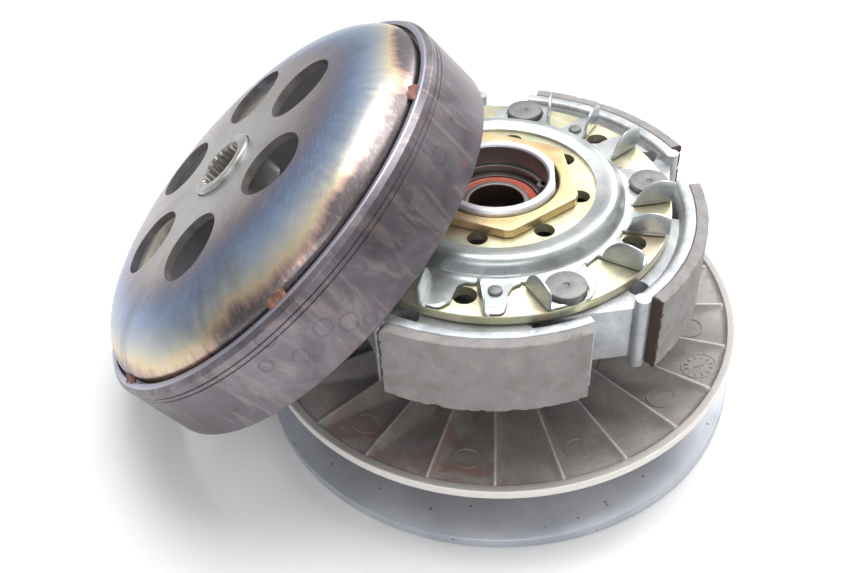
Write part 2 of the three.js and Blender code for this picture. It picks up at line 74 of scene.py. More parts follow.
# Hub, plates and nut
THREAD_R = 22.5
TUBE_TOP = 93.8
BEARING_Z = 73.0
BEARING_TOP = 82.0
FLAT_X = 20.9
PLATE_R = 63.2
PLATE_TOP = 83.3
PLATE_BOTTOM = 79.8
DISH_TOP = 88.5
FAN_BOTTOM = 83.6
FAN_TOP = 84.6
NUT_BOTTOM = 88.8
NUT_TOP = 92.2
NUT_FLAT_R = 27.0
NUT_TURN = -21.2
NUT_CORNER_R = 30.3
BLADE_FEET = ((-12.7, -8.3), (-31.1, -27.4), (-50.4, -46.8))  # inner and outer end, degrees from a pin

# Clutch
SHOE_COUNT = 5
SHOE_PITCH = 360 / SHOE_COUNT
PIN_CIRCLE_R = 56.0
PIN_ANGLE = 6.1
PIN_HEAD_R = 6.9
SHOE_LAG = 43.6  # angle from a shoe's pin to the middle of its lining
LINING_R = 79.2
LINING_INNER_R = 75.1
SHOE_BOTTOM = 53.5
SHOE_TOP = 83.3
REST_SWING = (2, 4.2, 2.8, 3.5, 3.5)
WALL_HALF = 27.9  # half the angle that a shoe's wall takes
LINING_HALF = 25.6
UNDER_BELL = 2  # place of the shoe whose end lies under the bell's lip

# Bell
DRUM_R = 86.5
DRUM_BORE_R = 81.5
DRUM_LENGTH = 29.5
DOME_R = 81.3
DOME_EDGE = 30.4
DOME_RISE = 16.3
DOME_HOLES = 6
DOME_HOLE_R = 40.5
DOME_HOLE_ANGLE = 20.4
BELL_HUB_TOP = 48.2
SPLINE_TEETH = 22

BRIGHT_SIDE = (0.15, 0.45, 0.85)  # the room is brightest above and behind the set


# ---- places ----


def pulley_place():
    """The pulley's axis on the table, from the middle of the fixed sheave."""
    low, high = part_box("fixed_sheave")
    return Matrix.Translation(((low.x + high.x) / 2, (low.y + high.y) / 2, 0))


def bell_place():
    """The middle of the bell's mouth, +Z along its axis, from the drum and the joint that lifts it."""
    joint = next(j for j in frame["joints"] if j["name"] == "bell_lift")
    axis = Vector(joint["axis"]).normalized()
    corners = [v.co for v in frame["nodes"]["bell_drum"].data.vertices]
    lowest = min(co.dot(axis) for co in corners)
    mouth = [co for co in corners if co.dot(axis) < lowest + 0.1 * MM]
    rounded_off = {tuple(round(c, 6) for c in co) for co in mouth}
    middle = sum((Vector(co) for co in rounded_off), Vector()) / len(rounded_off)
    turn = Vector((0, 0, 1)).rotation_difference(axis)
    return Matrix.Translation(middle) @ turn.to_matrix().to_4x4()


PULLEY = pulley_place()
BELL = bell_place()


# ---- shapes: a list of points in millimetres and a list of faces ----


def polar(radius, degrees):
    return radius * math.cos(math.radians(degrees)), radius * math.sin(math.radians(degrees))


def filleted(outline, steps=3):
    """A closed outline of (x, y, radius) with its corners rounded off."""
    points = []
    count = len(outline)
    for i, (x, y, *rest) in enumerate(outline):
        radius = rest[0] if rest else 0
        corner = Vector((x, y))
        if not radius:
            points.append((x, y))
            continue
        before = Vector(outline[i - 1][:2]) - corner
        after = Vector(outline[(i + 1) % count][:2]) - corner
        half = before.angle(after) / 2
        reach = min(radius / math.tan(half), 0.48 * before.length, 0.48 * after.length)
        start = corner + before.normalized() * reach
        end = corner + after.normalized() * reach
        for k in range(steps + 1):
            t = k / steps
            point = start * (1 - t) ** 2 + corner * 2 * t * (1 - t) + end * t**2
            points.append((point.x, point.y))
    return points


def smooth_line(points, steps=5):
    """Points on a Catmull-Rom curve through the given ones."""
    ends = [points[0], *points, points[-1]]
    line = []
    for i in range(1, len(ends) - 2):
        a, b, c, d = (Vector(p) for p in ends[i - 1 : i + 3])
        for k in range(steps):
            t = k / steps
            point = (b * 2 + (c - a) * t + (a * 2 - b * 5 + c * 4 - d) * t**2
                     + (b * 3 - a - c * 3 + d) * t**3) / 2
            line.append(tuple(point))
    line.append(tuple(points[-1]))
    return line


def full_turn(count):
    return [i * 360 / count for i in range(count)]


def sweep(outline, angles, closed=True, warp=None):
    """The closed outline of (radius, z) carried round the axis through the angles, in degrees."""
    points = []
    for angle in angles:
        for radius, z in outline:
            r, height = warp(radius, z, angle) if warp else (radius, z)
            points.append((*polar(r, angle), height))
    size = len(outline)
    faces = []
    for i in range(len(angles) if closed else len(angles) - 1):
        this, following = i * size, (i + 1) % len(angles) * size
        for j in range(size):
            k = (j + 1) % size
            faces.append((this + j, following + j, following + k, this + k))
    if not closed:
        faces.append(tuple(range(size)))
        faces.append(tuple(reversed(range(len(points) - size, len(points)))))
    return points, faces


def turned(outline, count=192, warp=None):
    return sweep(filleted(outline), full_turn(count), True, warp)


def arc_block(outline, start, end, step=1.0):
    count = max(2, round((end - start) / step))
    return sweep(filleted(outline), [start + (end - start) * i / count for i in range(count + 1)], False)


def prism(outline, bottom, top):
    size = len(outline)
    points = [(x, y, bottom) for x, y in outline] + [(x, y, top) for x, y in outline]
    faces = [tuple(reversed(range(size))), tuple(range(size, 2 * size))]
    for i in range(size):
        j = (i + 1) % size
        faces.append((i, j, size + j, size + i))
    return points, faces


def disc(radius, bottom, top, centre=(0, 0), count=48, stretch=1.0):
    outline = [(centre[0] + radius * stretch * math.cos(math.tau * i / count),
                centre[1] + radius * math.sin(math.tau * i / count)) for i in range(count)]
    return prism(outline, bottom, top)


def tube(path, radius, sides=12):
    """A round wire along the points, closed at its ends."""
    line = [Vector(p) for p in path]
    points = []
    normal = Vector((0, 0, 1))
    for i, centre in enumerate(line):
        along = (line[min(i + 1, len(line) - 1)] - line[max(i - 1, 0)]).normalized()
        if abs(along.dot(normal)) > 0.95:
            normal = along.orthogonal()
        normal = (normal - along * normal.dot(along)).normalized()
        side = along.cross(normal)
        for k in range(sides):
            turn = math.tau * k / sides
            points.append(tuple(centre + (normal * math.cos(turn) + side * math.sin(turn)) * radius))
    faces = [tuple(reversed(range(sides))), tuple(range(len(points) - sides, len(points)))]
    for i in range(len(line) - 1):
        for k in range(sides):
            m = (k + 1) % sides
            faces.append((i * sides + k, i * sides + m, (i + 1) * sides + m, (i + 1) * sides + k))
    return points, faces


def moved(shape, matrix):
    points, faces = shape
    return [tuple(matrix @ Vector(p)) for p in points], faces


def joined(shapes):
    points, faces = [], []
    for some_points, some_faces in shapes:
        first = len(points)
        points.extend(some_points)
        faces.extend(tuple(first + i for i in face) for face in some_faces)
    return points, faces


def mesh_of(name, shape, sharp=35):
    points, faces = shape
    mesh = bpy.data.meshes.new(name)
    mesh.from_pydata([Vector(p) * MM for p in points], [], faces)
    work = bmesh.new()
    work.from_mesh(mesh)
    bmesh.ops.remove_doubles(work, verts=work.verts, dist=1e-7)
    bmesh.ops.recalc_face_normals(work, faces=work.faces)
    work.to_mesh(mesh)
    work.free()
    shade(mesh, sharp)
    return mesh


def shade(mesh, sharp):
    mesh.shade_smooth()
    mesh.set_sharp_from_angle(angle=math.radians(sharp))


def add_object(name, mesh, place):
    made = bpy.data.objects.new(name, mesh)
    made.matrix_world = place
    bpy.context.scene.collection.objects.link(made)
    return made


def put(name, shape, place, sharp=35):
    """Adds a shape as an object of its own at its place."""
    return add_object(name, mesh_of(name, shape, sharp), place)


def apply_modifiers(obj, sharp=35):
    bpy.context.view_layer.update()
    graph = bpy.context.evaluated_depsgraph_get()
    mesh = bpy.data.meshes.new_from_object(obj.evaluated_get(graph))
    obj.modifiers.clear()
    obj.data = mesh
    shade(mesh, sharp)


def boolean(obj, shapes, operation="DIFFERENCE", sharp=35):
    """Cuts the shapes out of the object, or joins them to it."""
    tools = []
    for shape in shapes:
        tool = put("tool", shape, obj.matrix_world)
        tools.append(tool)
        modifier = obj.modifiers.new("boolean", "BOOLEAN")
        modifier.operation = operation
        modifier.solver = "EXACT"
        modifier.object = tool
    apply_modifiers(obj, sharp)
    for tool in tools:
        bpy.data.objects.remove(tool)


def bevel(obj, width, segments=2, angle=40, sharp=35):
    modifier = obj.modifiers.new("bevel", "BEVEL")
    modifier.width = width * MM
    modifier.segments = segments
    modifier.limit_method = "ANGLE"
    modifier.angle_limit = math.radians(angle)
    apply_modifiers(obj, sharp)


def straighten(obj):
    """Takes the object's turn into its mesh, so that its box lies along the room's axes."""
    obj.data.transform(obj.matrix_world.to_3x3().to_4x4())
    obj.matrix_world = Matrix.Translation(obj.matrix_world.translation)


def settle(obj, body, material, nodes=()):
    """Gives a finished piece its material, its body and the CAD nodes it stands for."""
    obj.data.materials.clear()
    obj.data.materials.append(material)
    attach(obj, body)
    if nodes:
        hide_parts(*nodes)
    return obj


# ---- material building ----


def linear(code):
    """A colour written as six hexadecimal digits, as the linear values that a shader takes."""
    parts = [int(code[i : i + 2], 16) / 255 for i in (0, 2, 4)]
    return (*[c / 12.92 if c < 0.04045 else ((c + 0.055) / 1.055) ** 2.4 for c in parts], 1)


class Surface:
    """A material's nodes, put together by short calls. Lengths are in millimetres."""

    def __init__(self, name, roughness=0.4, metallic=1.0, axis=None):
        """axis is the matrix of a piece whose turn is in its mesh; the pattern is read along it."""
        self.material = bpy.data.materials.new(name)
        self.material.use_nodes = True
        self.tree = self.material.node_tree
        self.shader = self.tree.nodes["Principled BSDF"]
        self.shader.inputs["Roughness"].default_value = roughness
        self.shader.inputs["Metallic"].default_value = metallic
        place = self.node("TexCoord").outputs["Object"]
        if axis:
            back = axis.to_3x3().inverted().to_euler()
            place = self.node("Mapping", {"Vector": place, "Rotation": back}).outputs[0]
        self.point = self.node("VectorMath", {0: place, 3: 1 / MM}, operation="SCALE").outputs[0]
        parts = self.node("SeparateXYZ", {0: self.point}).outputs
        self.x, self.y, self.z = parts[0], parts[1], parts[2]
        flat = self.node("CombineXYZ", {0: self.x, 1: self.y})
        self.radius = self.node("VectorMath", {0: flat.outputs[0]}, operation="LENGTH").outputs[1]
        self.direction = self.node("VectorMath", {0: flat.outputs[0]}, operation="NORMALIZE").outputs[0]

    def node(self, kind, inputs=None, **settings):
        made = self.tree.nodes.new("ShaderNode" + kind)
        for key, value in settings.items():
            setattr(made, key, value)
        for key, value in (inputs or {}).items():
            if isinstance(value, bpy.types.NodeSocket):
                self.tree.links.new(value, made.inputs[key])
            else:
                made.inputs[key].default_value = value
        return made

    def math(self, operation, a, b=0.0):
        return self.node("Math", {0: a, 1: b}, operation=operation).outputs[0]

    def noise(self, scale, detail=4.0, rough=0.55, distortion=0.0, vector=None):
        inputs = {"Vector": vector or self.point, "Scale": scale, "Detail": detail,
                  "Roughness": rough, "Distortion": distortion}
        return self.node("TexNoise", inputs).outputs["Fac"]

    def cells(self, scale, vector=None, feature="F1"):
        inputs = {"Vector": vector or self.point, "Scale": scale}
        return self.node("TexVoronoi", inputs, feature=feature).outputs["Distance"]

    def ramp(self, factor, stops):
        """Colours or grey values at places from 0 to 1."""
        made = self.node("ValToRGB", {0: factor})
        elements = made.color_ramp.elements
        while len(elements) < len(stops):
            elements.new(0.5)
        for element, (place, value) in zip(elements, stops):
            element.position = place
            element.color = linear(value) if isinstance(value, str) else (value, value, value, 1)
        return made.outputs[0]

    def band(self, value, low, high):
        """0 at low and below, 1 at high and above, smooth between."""
        inputs = {"Value": value, "From Min": low, "From Max": high}
        return self.node("MapRange", inputs, interpolation_type="SMOOTHSTEP").outputs[0]

    def mix(self, factor, a, b, blend="MIX"):
        a, b = (linear(c) if isinstance(c, str) else c for c in (a, b))
        made = self.node("Mix", {0: factor, 6: a, 7: b}, data_type="RGBA", blend_type=blend)
        return made.outputs[2]

    def round_vector(self, along, around):
        """A place for patterns that run round the axis: stretched by one scale across, one round it."""
        across = self.math("MULTIPLY", self.radius, along)
        rise = self.math("MULTIPLY", self.z, along)
        turn = self.node("VectorMath", {0: self.direction, 3: around}, operation="SCALE").outputs[0]
        ends = self.node("CombineXYZ", {0: across, 1: across, 2: rise}).outputs[0]
        return self.node("VectorMath", {0: turn, 1: ends}, operation="ADD").outputs[0]

    def bump(self, *layers):
        """Layers of (height, depth in millimetres)."""
        normal = None
        for height, depth in layers:
            inputs = {"Height": height, "Distance": depth * MM, "Strength": 1.0}
            if normal:
                inputs["Normal"] = normal
            normal = self.node("Bump", inputs).outputs[0]
        self.tree.links.new(normal, self.shader.inputs["Normal"])

    def finish(self, colour=None, roughness=None):
        if colour:
            self.tree.links.new(colour, self.shader.inputs["Base Color"])
        if roughness:
            self.tree.links.new(roughness, self.shader.inputs["Roughness"])
        return self.material


# ---- materials ----


def belt_face_steel():
    s = Surface("belt_face_steel", metallic=0.5)
    lines = s.noise(1.0, 3, 0.6, vector=s.round_vector(2.2, 1.4))
    cloud = s.noise(0.035, 4)
    colour = s.mix(s.band(cloud, 0.35, 0.7), "b9bec8", "d2d6dd")
    colour = s.mix(s.math("MULTIPLY", lines, 0.35), colour, linear("9296a0"))
    stain = s.band(s.noise(0.09, 5, 0.7, 0.8), 0.62, 0.72)
    colour = s.mix(s.math("MULTIPLY", stain, 0.55), colour, linear("a08a5a"))
    spots = s.math("LESS_THAN", s.cells(0.16), 0.09)
    colour = s.mix(s.math("MULTIPLY", spots, 0.6), colour, linear("4c4a4c"))
    s.bump((lines, 0.03))
    return s.finish(colour, s.ramp(lines, [(0.3, 0.28), (0.75, 0.42)]))


def cast_dark():
    s = Surface("cast_dark", metallic=0.35)
    grain = s.noise(1.3, 5, 0.7)
    cloud = s.noise(0.05, 5, 0.6, 0.5)
    colour = s.ramp(cloud, [(0.3, "8f8b89"), (0.5, "a39e9b"), (0.72, "b4b0ad")])
    fine = s.band(s.noise(0.6, 6, 0.75), 0.35, 0.75)
    colour = s.mix(s.math("MULTIPLY", fine, 0.35), colour, linear("7a7675"))
    front = s.math("MULTIPLY", s.band(s.y, -40.0, -70.0), s.band(s.x, 22.0, -6.0))
    rust = s.math("MULTIPLY", s.band(s.noise(0.055, 4, 0.6, 1.0), 0.44, 0.62), front)
    colour = s.mix(s.math("MULTIPLY", rust, 0.6), colour, linear("9a6a5c"))
    # painted highlight along the rib tops, broken up by speckle
    rib_top_highlight = s.node("Attribute", attribute_name="rib_top_highlight").outputs["Fac"]
    speckle = s.band(s.noise(1.6, 3, 0.8), 0.35, 0.6)
    speckled_rib_highlight = s.math("MULTIPLY", rib_top_highlight, s.math("ADD", s.math("MULTIPLY", speckle, 0.7), 0.3))
    colour = s.mix(speckled_rib_highlight, colour, linear("dcdad6"))
    machined = s.band(s.radius, 89.9, 90.2)
    land = s.mix(s.band(s.radius, 92.3, 92.7), "a09b99", "e6e2dc")
    colour = s.mix(machined, colour, land)
    s.bump((grain, 0.12), (fine, 0.06))
    rough = s.math("SUBTRACT", 0.55, s.math("MULTIPLY", machined, 0.2))
    return s.finish(colour, rough)


def polished_steel():
    s = Surface("polished_steel", metallic=0.8)
    lines = s.noise(1.0, 3, 0.6, vector=s.round_vector(3.0, 1.0))
    cloud = s.noise(0.12, 4)
    colour = s.mix(s.band(cloud, 0.3, 0.75), "a8a5a5", "c0bebe")
    bore = s.band(s.radius, 18.9, 18.65)
    colour = s.mix(s.math("MULTIPLY", bore, 0.8), colour, linear("8d8684"))
    ends = s.band(s.z, TUBE_TOP - 1.2, TUBE_TOP - 0.5)
    colour = s.mix(ends, colour, linear("dcdce0"))
    shaft_bore = s.band(s.radius, 10.6, 10.2)
    colour = s.mix(shaft_bore, colour, linear("6b5a52"))
    s.bump((lines, 0.03))
    return s.finish(colour, s.ramp(lines, [(0.25, 0.34), (0.8, 0.48)]))


def zinc(name, pale, deep, tints, roughness):
    """Passivated zinc: a base colour that drifts, with faint rainbow clouds and handling marks."""
    s = Surface(name, metallic=0.8)
    cloud = s.noise(0.06, 4, 0.6, 0.6)
    colour = s.mix(s.band(cloud, 0.3, 0.72), deep, pale)
    for offset, tint, amount in tints:
        shifted = s.node("VectorMath", {0: s.point, 1: (offset, offset * 1.7, 0)}).outputs[0]
        film = s.band(s.noise(0.075, 3, 0.5, 1.2, shifted), 0.5, 0.68)
        colour = s.mix(s.math("MULTIPLY", film, amount), colour, linear(tint))
    dirt = s.band(s.noise(0.5, 6, 0.75), 0.52, 0.75)
    colour = s.mix(s.math("MULTIPLY", dirt, 0.3), colour, linear("6d6a62"))
    scratch = s.noise(1.0, 3, 0.7, vector=s.node(
        "VectorMath", {0: s.point, 1: (0.15, 2.2, 1.0)}, operation="MULTIPLY").outputs[0])
    s.bump((scratch, 0.015), (s.noise(0.8, 4), 0.03))
    return s.finish(colour, s.ramp(cloud, [(0.25, roughness - 0.06), (0.75, roughness + 0.1)]))


def dull_steel(name, dark, light, roughness):
    s = Surface(name, metallic=0.7)
    grain = s.noise(2.2, 4, 0.7)
    cloud = s.noise(0.2, 4)
    colour = s.mix(s.band(cloud, 0.3, 0.7), dark, light)
    colour = s.mix(s.math("MULTIPLY", grain, 0.3), colour, linear("4a4848"))
    s.bump((grain, 0.05))
    return s.finish(colour, s.ramp(grain, [(0.2, roughness), (0.8, roughness + 0.15)]))


def cast_light():
    s = Surface("cast_light", metallic=0.65)
    grain = s.noise(1.1, 5, 0.7)
    cloud = s.noise(0.09, 4, 0.6, 0.4)
    colour = s.ramp(cloud, [(0.3, "9fa2a6"), (0.6, "bcbfc2"), (0.8, "cfd0d1")])
    grime = s.band(s.noise(0.35, 5, 0.7), 0.5, 0.75)
    colour = s.mix(s.math("MULTIPLY", grime, 0.4), colour, linear("7d7c79"))
    s.bump((grain, 0.12), (s.noise(0.25, 3), 0.25))
    return s.finish(colour, s.ramp(grain, [(0.2, 0.36), (0.8, 0.56)]))


def friction_lining():
    s = Surface("friction_lining", roughness=0.85, metallic=0.0)
    grain = s.noise(1.5, 6, 0.75)
    cloud = s.noise(0.12, 5, 0.65, 0.3)
    colour = s.ramp(cloud, [(0.3, "85817d"), (0.52, "959190"), (0.75, "a29f9b")])
    flecks = s.band(s.noise(2.6, 2, 0.9), 0.62, 0.75)
    colour = s.mix(s.math("MULTIPLY", flecks, 0.5), colour, linear("d0ccc6"))
    pits = s.band(s.noise(0.9, 5, 0.8), 0.6, 0.72)
    colour = s.mix(s.math("MULTIPLY", pits, 0.5), colour, linear("6f6a66"))
    turn = s.math("DIVIDE", s.y, s.radius)
    end = math.sin(math.radians(LINING_HALF))
    ragged = s.math("ADD", turn, s.math("MULTIPLY", s.math("SUBTRACT", s.noise(0.5, 3), 0.5), 0.03))
    burnt = s.band(ragged, 0.012 - end, 0.006 - end)
    colour = s.mix(burnt, colour, linear("4a3b33"))
    s.bump((grain, 0.15), (cloud, 0.25))
    return s.finish(colour)


def rubber(name, code, roughness):
    s = Surface(name, roughness=roughness, metallic=0.0)
    film = s.band(s.noise(0.4, 4), 0.35, 0.75)
    colour = s.mix(s.math("MULTIPLY", film, 0.25), code, linear("b9a79d"))
    s.bump((s.noise(2.0, 3), 0.03))
    return s.finish(colour)


def tempered_dome():
    """Steel tinted by heat in rings, brushed, with soft patches and a dark edge; a painted sheen pales the
    rings on the side away from the camera.
    """
    s = Surface("tempered_dome", metallic=0.9, axis=BELL)
    drift = s.math("MULTIPLY", s.math("SUBTRACT", s.noise(0.022, 3, 0.5, 0.4), 0.5), 16.0)
    streak = s.noise(1.0, 3, 0.6, vector=s.round_vector(0.05, 26.0))
    wobble = s.math("MULTIPLY", s.math("SUBTRACT", streak, 0.5), 5.0)
    place = s.math("ADD", s.radius, s.math("ADD", drift, wobble))
    share = s.math("DIVIDE", place, DOME_R)
    rings = s.ramp(share, [
        (0.17, "b4b2b1"), (0.3, "b0aeac"), (0.55, "a49c9a"), (0.63, "8f878c"), (0.7, "83859a"),
        (0.76, "7f8fae"), (0.82, "8fa3be"), (0.88, "a8b2bf"), (0.93, "c4c3bb"), (0.962, "dcc9a8"),
        (0.985, "b3958c"), (1.0, "746b6c"),
    ])
    # a paler copy of the rings: painted sheen that washes the heat tint out on the side away from the camera
    plain = s.ramp(share, [
        (0.2, "b8b6b5"), (0.62, "bab4b5"), (0.74, "b0afba"), (0.82, "aeb3c0"), (0.88, "bcc2cb"),
        (0.93, "c6c6c8"), (0.965, "cfc6bb"), (1.0, "857c7a"),
    ])
    # the share of painted sheen grows towards the side away from the camera
    side = s.math("ADD", s.math("MULTIPLY", s.x, 0.55), s.math("MULTIPLY", s.y, -0.6))
    sheen_side = s.math("MULTIPLY", s.band(side, 5.0, -55.0), 0.75)
    colour = s.mix(sheen_side, rings, plain)
    soot = s.band(s.noise(0.03, 4, 0.6, 0.7), 0.52, 0.7)
    colour = s.mix(s.math("MULTIPLY", soot, 0.35), colour, linear("6d6468"))
    fine = s.noise(1.0, 4, 0.7, vector=s.round_vector(0.9, 60.0))
    colour = s.mix(s.math("MULTIPLY", s.band(fine, 0.5, 0.7), 0.18), colour, linear("e6e2de"))
    specks = s.band(s.noise(0.7, 5, 0.8), 0.64, 0.74)
    colour = s.mix(s.math("MULTIPLY", specks, 0.35), colour, linear("8a6f63"))
    s.bump((fine, 0.02), (s.noise(0.05, 2), 0.4))
    return s.finish(colour, s.ramp(streak, [(0.25, 0.26), (0.75, 0.4)]))


def stained_drum():
    """Heat-darkened steel with tan blotches, water rings and streaks along the axis."""
    s = Surface("stained_drum", metallic=0.8, axis=BELL)
    cloud = s.noise(0.045, 5, 0.6, 0.9)
    colour = s.ramp(cloud, [(0.3, "635d62"), (0.5, "767076"), (0.7, "8d888f")])
    long = s.node("CombineXYZ", {0: s.math("MULTIPLY", s.x, 0.16), 1: s.math("MULTIPLY", s.y, 0.16),
                                2: s.math("MULTIPLY", s.z, 0.035)}).outputs[0]
    streak = s.band(s.noise(1.0, 4, 0.6, 1.4, long), 0.5, 0.68)
    colour = s.mix(s.math("MULTIPLY", streak, 0.45), colour, linear("a79a96"))
    blotch = s.band(s.noise(0.06, 5, 0.7, 1.6), 0.56, 0.7)
    colour = s.mix(s.math("MULTIPLY", blotch, 0.5), colour, linear("8f7a70"))
    drops = s.cells(0.1)
    ring = s.math("MULTIPLY", s.band(drops, 0.26, 0.31), s.band(drops, 0.38, 0.33))
    where = s.band(s.noise(0.03, 2), 0.5, 0.62)
    colour = s.mix(s.math("MULTIPLY", s.math("MULTIPLY", ring, where), 0.4), colour, linear("57525a"))
    rust = s.math("LESS_THAN", s.cells(0.05), 0.12)
    rust = s.math("MULTIPLY", rust, s.band(s.noise(0.35, 5, 0.8), 0.45, 0.6))
    colour = s.mix(s.math("MULTIPLY", rust, 0.7), colour, linear("a5684f"))
    land = s.math("MULTIPLY", s.band(s.z, 28.9, 29.3), s.band(s.radius, 82.4, 82.9))
    colour = s.mix(land, colour, linear("b4b4c2"))
    inside = s.band(s.radius, DRUM_BORE_R + 1.2, DRUM_BORE_R + 0.4)
    colour = s.mix(inside, colour, linear("8e8c90"))
    turned_lines = s.noise(1.0, 2, 0.6, vector=s.round_vector(2.0, 1.0))
    s.bump((turned_lines, 0.03), (cloud, 0.1))
    return s.finish(colour, s.ramp(cloud, [(0.3, 0.3), (0.7, 0.46)]))


def bell_boss():
    s = Surface("bell_boss", metallic=0.85, axis=BELL)
    lines = s.noise(1.0, 3, 0.6, vector=s.round_vector(2.5, 1.2))
    colour = s.mix(s.band(s.noise(0.15, 4), 0.35, 0.7), "aaa8a6", "c6c4c2")
    inner = s.band(s.radius, 10.2, 9.4)
    colour = s.mix(s.math("MULTIPLY", inner, 0.5), colour, linear("8f8a80"))
    s.bump((lines, 0.04))
    return s.finish(colour, s.ramp(lines, [(0.3, 0.28), (0.7, 0.42)]))


def rusty_weld():
    s = Surface("rusty_weld", metallic=0.35, roughness=0.6, axis=BELL)
    cloud = s.noise(0.5, 5, 0.7)
    colour = s.ramp(cloud, [(0.3, "6b4a44"), (0.55, "96695e"), (0.75, "ab8d84")])
    s.bump((s.noise(1.2, 5, 0.7), 0.35))
    return s.finish(colour)


def table_white():
    s = Surface("table_white", roughness=0.5, metallic=0.0)
    colour = s.mix(s.band(s.noise(0.004, 2), 0.3, 0.7), "f4f4f5", "f8f8f8")
    return s.finish(colour)


MATERIALS = {
    "belt_face": belt_face_steel(),
    "cast_dark": cast_dark(),
    "polished": polished_steel(),
    "yellow_zinc": zinc("yellow_zinc", "e3dfc2", "c9c4a2",
                        [(40, "e6c3b6", 0.5), (-70, "b6d0b4", 0.45)], 0.36),
    "silver_zinc": zinc("silver_zinc", "ccd0d1", "aeb3b5",
                        [(20, "bccfc4", 0.3), (-50, "cfc2c4", 0.25)], 0.32),
    "gold_zinc": zinc("gold_zinc", "e6d3a6", "cdb280", [(30, "e8b9a2", 0.5), (-35, "d6cf8a", 0.4)], 0.34),
    "spring_steel": dull_steel("spring_steel", "6f6e70", "8d8c8e", 0.38),
    "pin_steel": dull_steel("pin_steel", "7b7a7b", "939292", 0.45),
    "cast_light": cast_light(),
    "lining": friction_lining(),
    "red_seal": rubber("red_seal", "cf5a41", 0.45),
    "black_rubber": rubber("black_rubber", "1d1c1c", 0.6),
    "dome": tempered_dome(),
    "drum": stained_drum(),
    "boss": bell_boss(),
    "weld": rusty_weld(),
}


# ---- sheaves ----


def fixed_sheave():
    shape = turned([
        (24.3, 0.8), (33, 0.8, 0.5), (37, 9.6, 2), (84, 1.6, 1), (86, 0.1, 0.5), (93, 0.1, 0.5),
        (RIM_R, 0.7, 0.3), (RIM_R, FIXED_RIM_TOP, 0.5), (45.5, LAND_Z, 1), (24.3, LAND_Z),
    ], 256)
    obj = put("belt_sheave_fixed", shape, PULLEY)
    settle(obj, "pulley", MATERIALS["belt_face"], ["fixed_sheave"])


def smooth_max(a, b, blend):
    overlap = max(blend - abs(a - b), 0) / blend
    return max(a, b) + overlap**2 * blend / 4


def pocket_floor(radius):
    """The cast back between its ribs rises towards the rim."""
    return 21.6 + (radius - 51) * (29.6 - 21.6) / (89.2 - 51)


def rib_distance(radius, degrees):
    pitch = 360 / RIB_COUNT
    offset = (degrees + pitch / 2) % pitch - pitch / 2
    return radius * math.radians(offset)


def back_height(radius, degrees):
    """Height of the movable sheave's back: a rib steep on one side and easy on the other."""
    aside = rib_distance(radius, degrees)
    slope = 1.9 if aside > 0 else 1.15
    rib = RIB_TOP - slope * max(0, abs(aside) - 0.45)
    dent = 0.25 * noise.noise(Vector((*polar(radius, degrees), 3.0)) * 0.09)
    return smooth_max(pocket_floor(radius) + dent, rib, 1.6)


def rib_angles():
    """Angles round the back, close together at the ribs."""
    half = [0, 0.2, 0.45, 0.7, 1.0, 1.35, 1.75, 2.2, 2.8, 3.5, 4.5, 5.8]
    sector = sorted({-a for a in half} | set(half) | {7.5})
    return [i * 360 / RIB_COUNT + a for i in range(RIB_COUNT) for a in sector]


def movable_sheave():
    floor_radii = [48.4 + i * 0.82 for i in range(50)]
    rim = filleted([
        (89.6, MOVABLE_RIM_TOP - 0.9), (90.0, MOVABLE_RIM_TOP, 0.2), (RIM_R - 0.6, MOVABLE_RIM_TOP, 0.4),
        (RIM_R - 0.6, MOVABLE_RIM_BOTTOM, 0.4), (45.5, MOVABLE_FACE_Z, 1), (29.3, MOVABLE_FACE_Z),
        (29.3, 45.0), (31.9, 45.0, 0.5), (31.9, 29.5, 1), (48, 29.5, 0.8), (48, 24.0),
    ])
    outline = [(r, -1) for r in floor_radii] + rim

    def warp(radius, z, angle):
        return (radius, back_height(radius, angle)) if z < 0 else (radius, z)

    angles = rib_angles()
    mesh = mesh_of("belt_sheave_movable", sweep(outline, angles, True, warp), 45)
    marks = mesh_of("casting_marks", casting_marks())
    obj = add_object("belt_sheave_movable", mesh, PULLEY)
    paint_rib_top_highlight(mesh)
    settle(obj, "movable_sheave", MATERIALS["cast_dark"], ["movable_sheave"])
    extra = add_object("casting_marks", marks, PULLEY)
    settle(extra, "movable_sheave", MATERIALS["cast_dark"])


def paint_rib_top_highlight(mesh):
    """Painted highlight along the rib tops, kept with the mesh's points."""
    attribute = mesh.attributes.new("rib_top_highlight", "FLOAT", "POINT")
    for i, vertex in enumerate(mesh.vertices):
        x, y, z = (c / MM for c in vertex.co)
        radius = math.hypot(x, y)
        if not 50 < radius < 89.7 or z < pocket_floor(radius) - 1:
            continue
        top = max(0, 1 - abs(rib_distance(radius, math.degrees(math.atan2(y, x)))) / 0.55)
        attribute.data[i].value = 0.8 * top


def casting_marks():
    """Ejector rings and one date dial, raised from the pocket floors."""
    tilt = Matrix.Rotation(-math.atan2(29.6 - 21.6, 89.2 - 51), 4, "Y")
    shapes = []
    for i in range(12):
        shapes.append(on_back(raised_ring(5.0, 0.3), 76, -127.5 + 30 * i, tilt))
    dial = [raised_ring(6.4, 0.25)]
    for k in range(12):
        tick = prism([(3.9, -0.22), (5.4, -0.22), (5.4, 0.22), (3.9, 0.22)], -0.3, 0.3)
        dial.append(moved(tick, Matrix.Rotation(math.tau * k / 12, 4, "Z")))
    dial.append(moved(prism([(-1.6, -0.3), (1.6, -0.3), (2.4, 0), (1.6, 0.3), (-1.6, 0.3)], -0.3, 0.3),
                      Matrix.Rotation(0.6, 4, "Z")))
    shapes.append(on_back(joined(dial), 82, -22.5, tilt))
    return joined(shapes)


def raised_ring(radius, half):
    eighths = [math.tau * i / 8 for i in range(8)]
    outline = [(radius + half * math.cos(a), half * math.sin(a)) for a in eighths]
    return sweep(outline, full_turn(48))


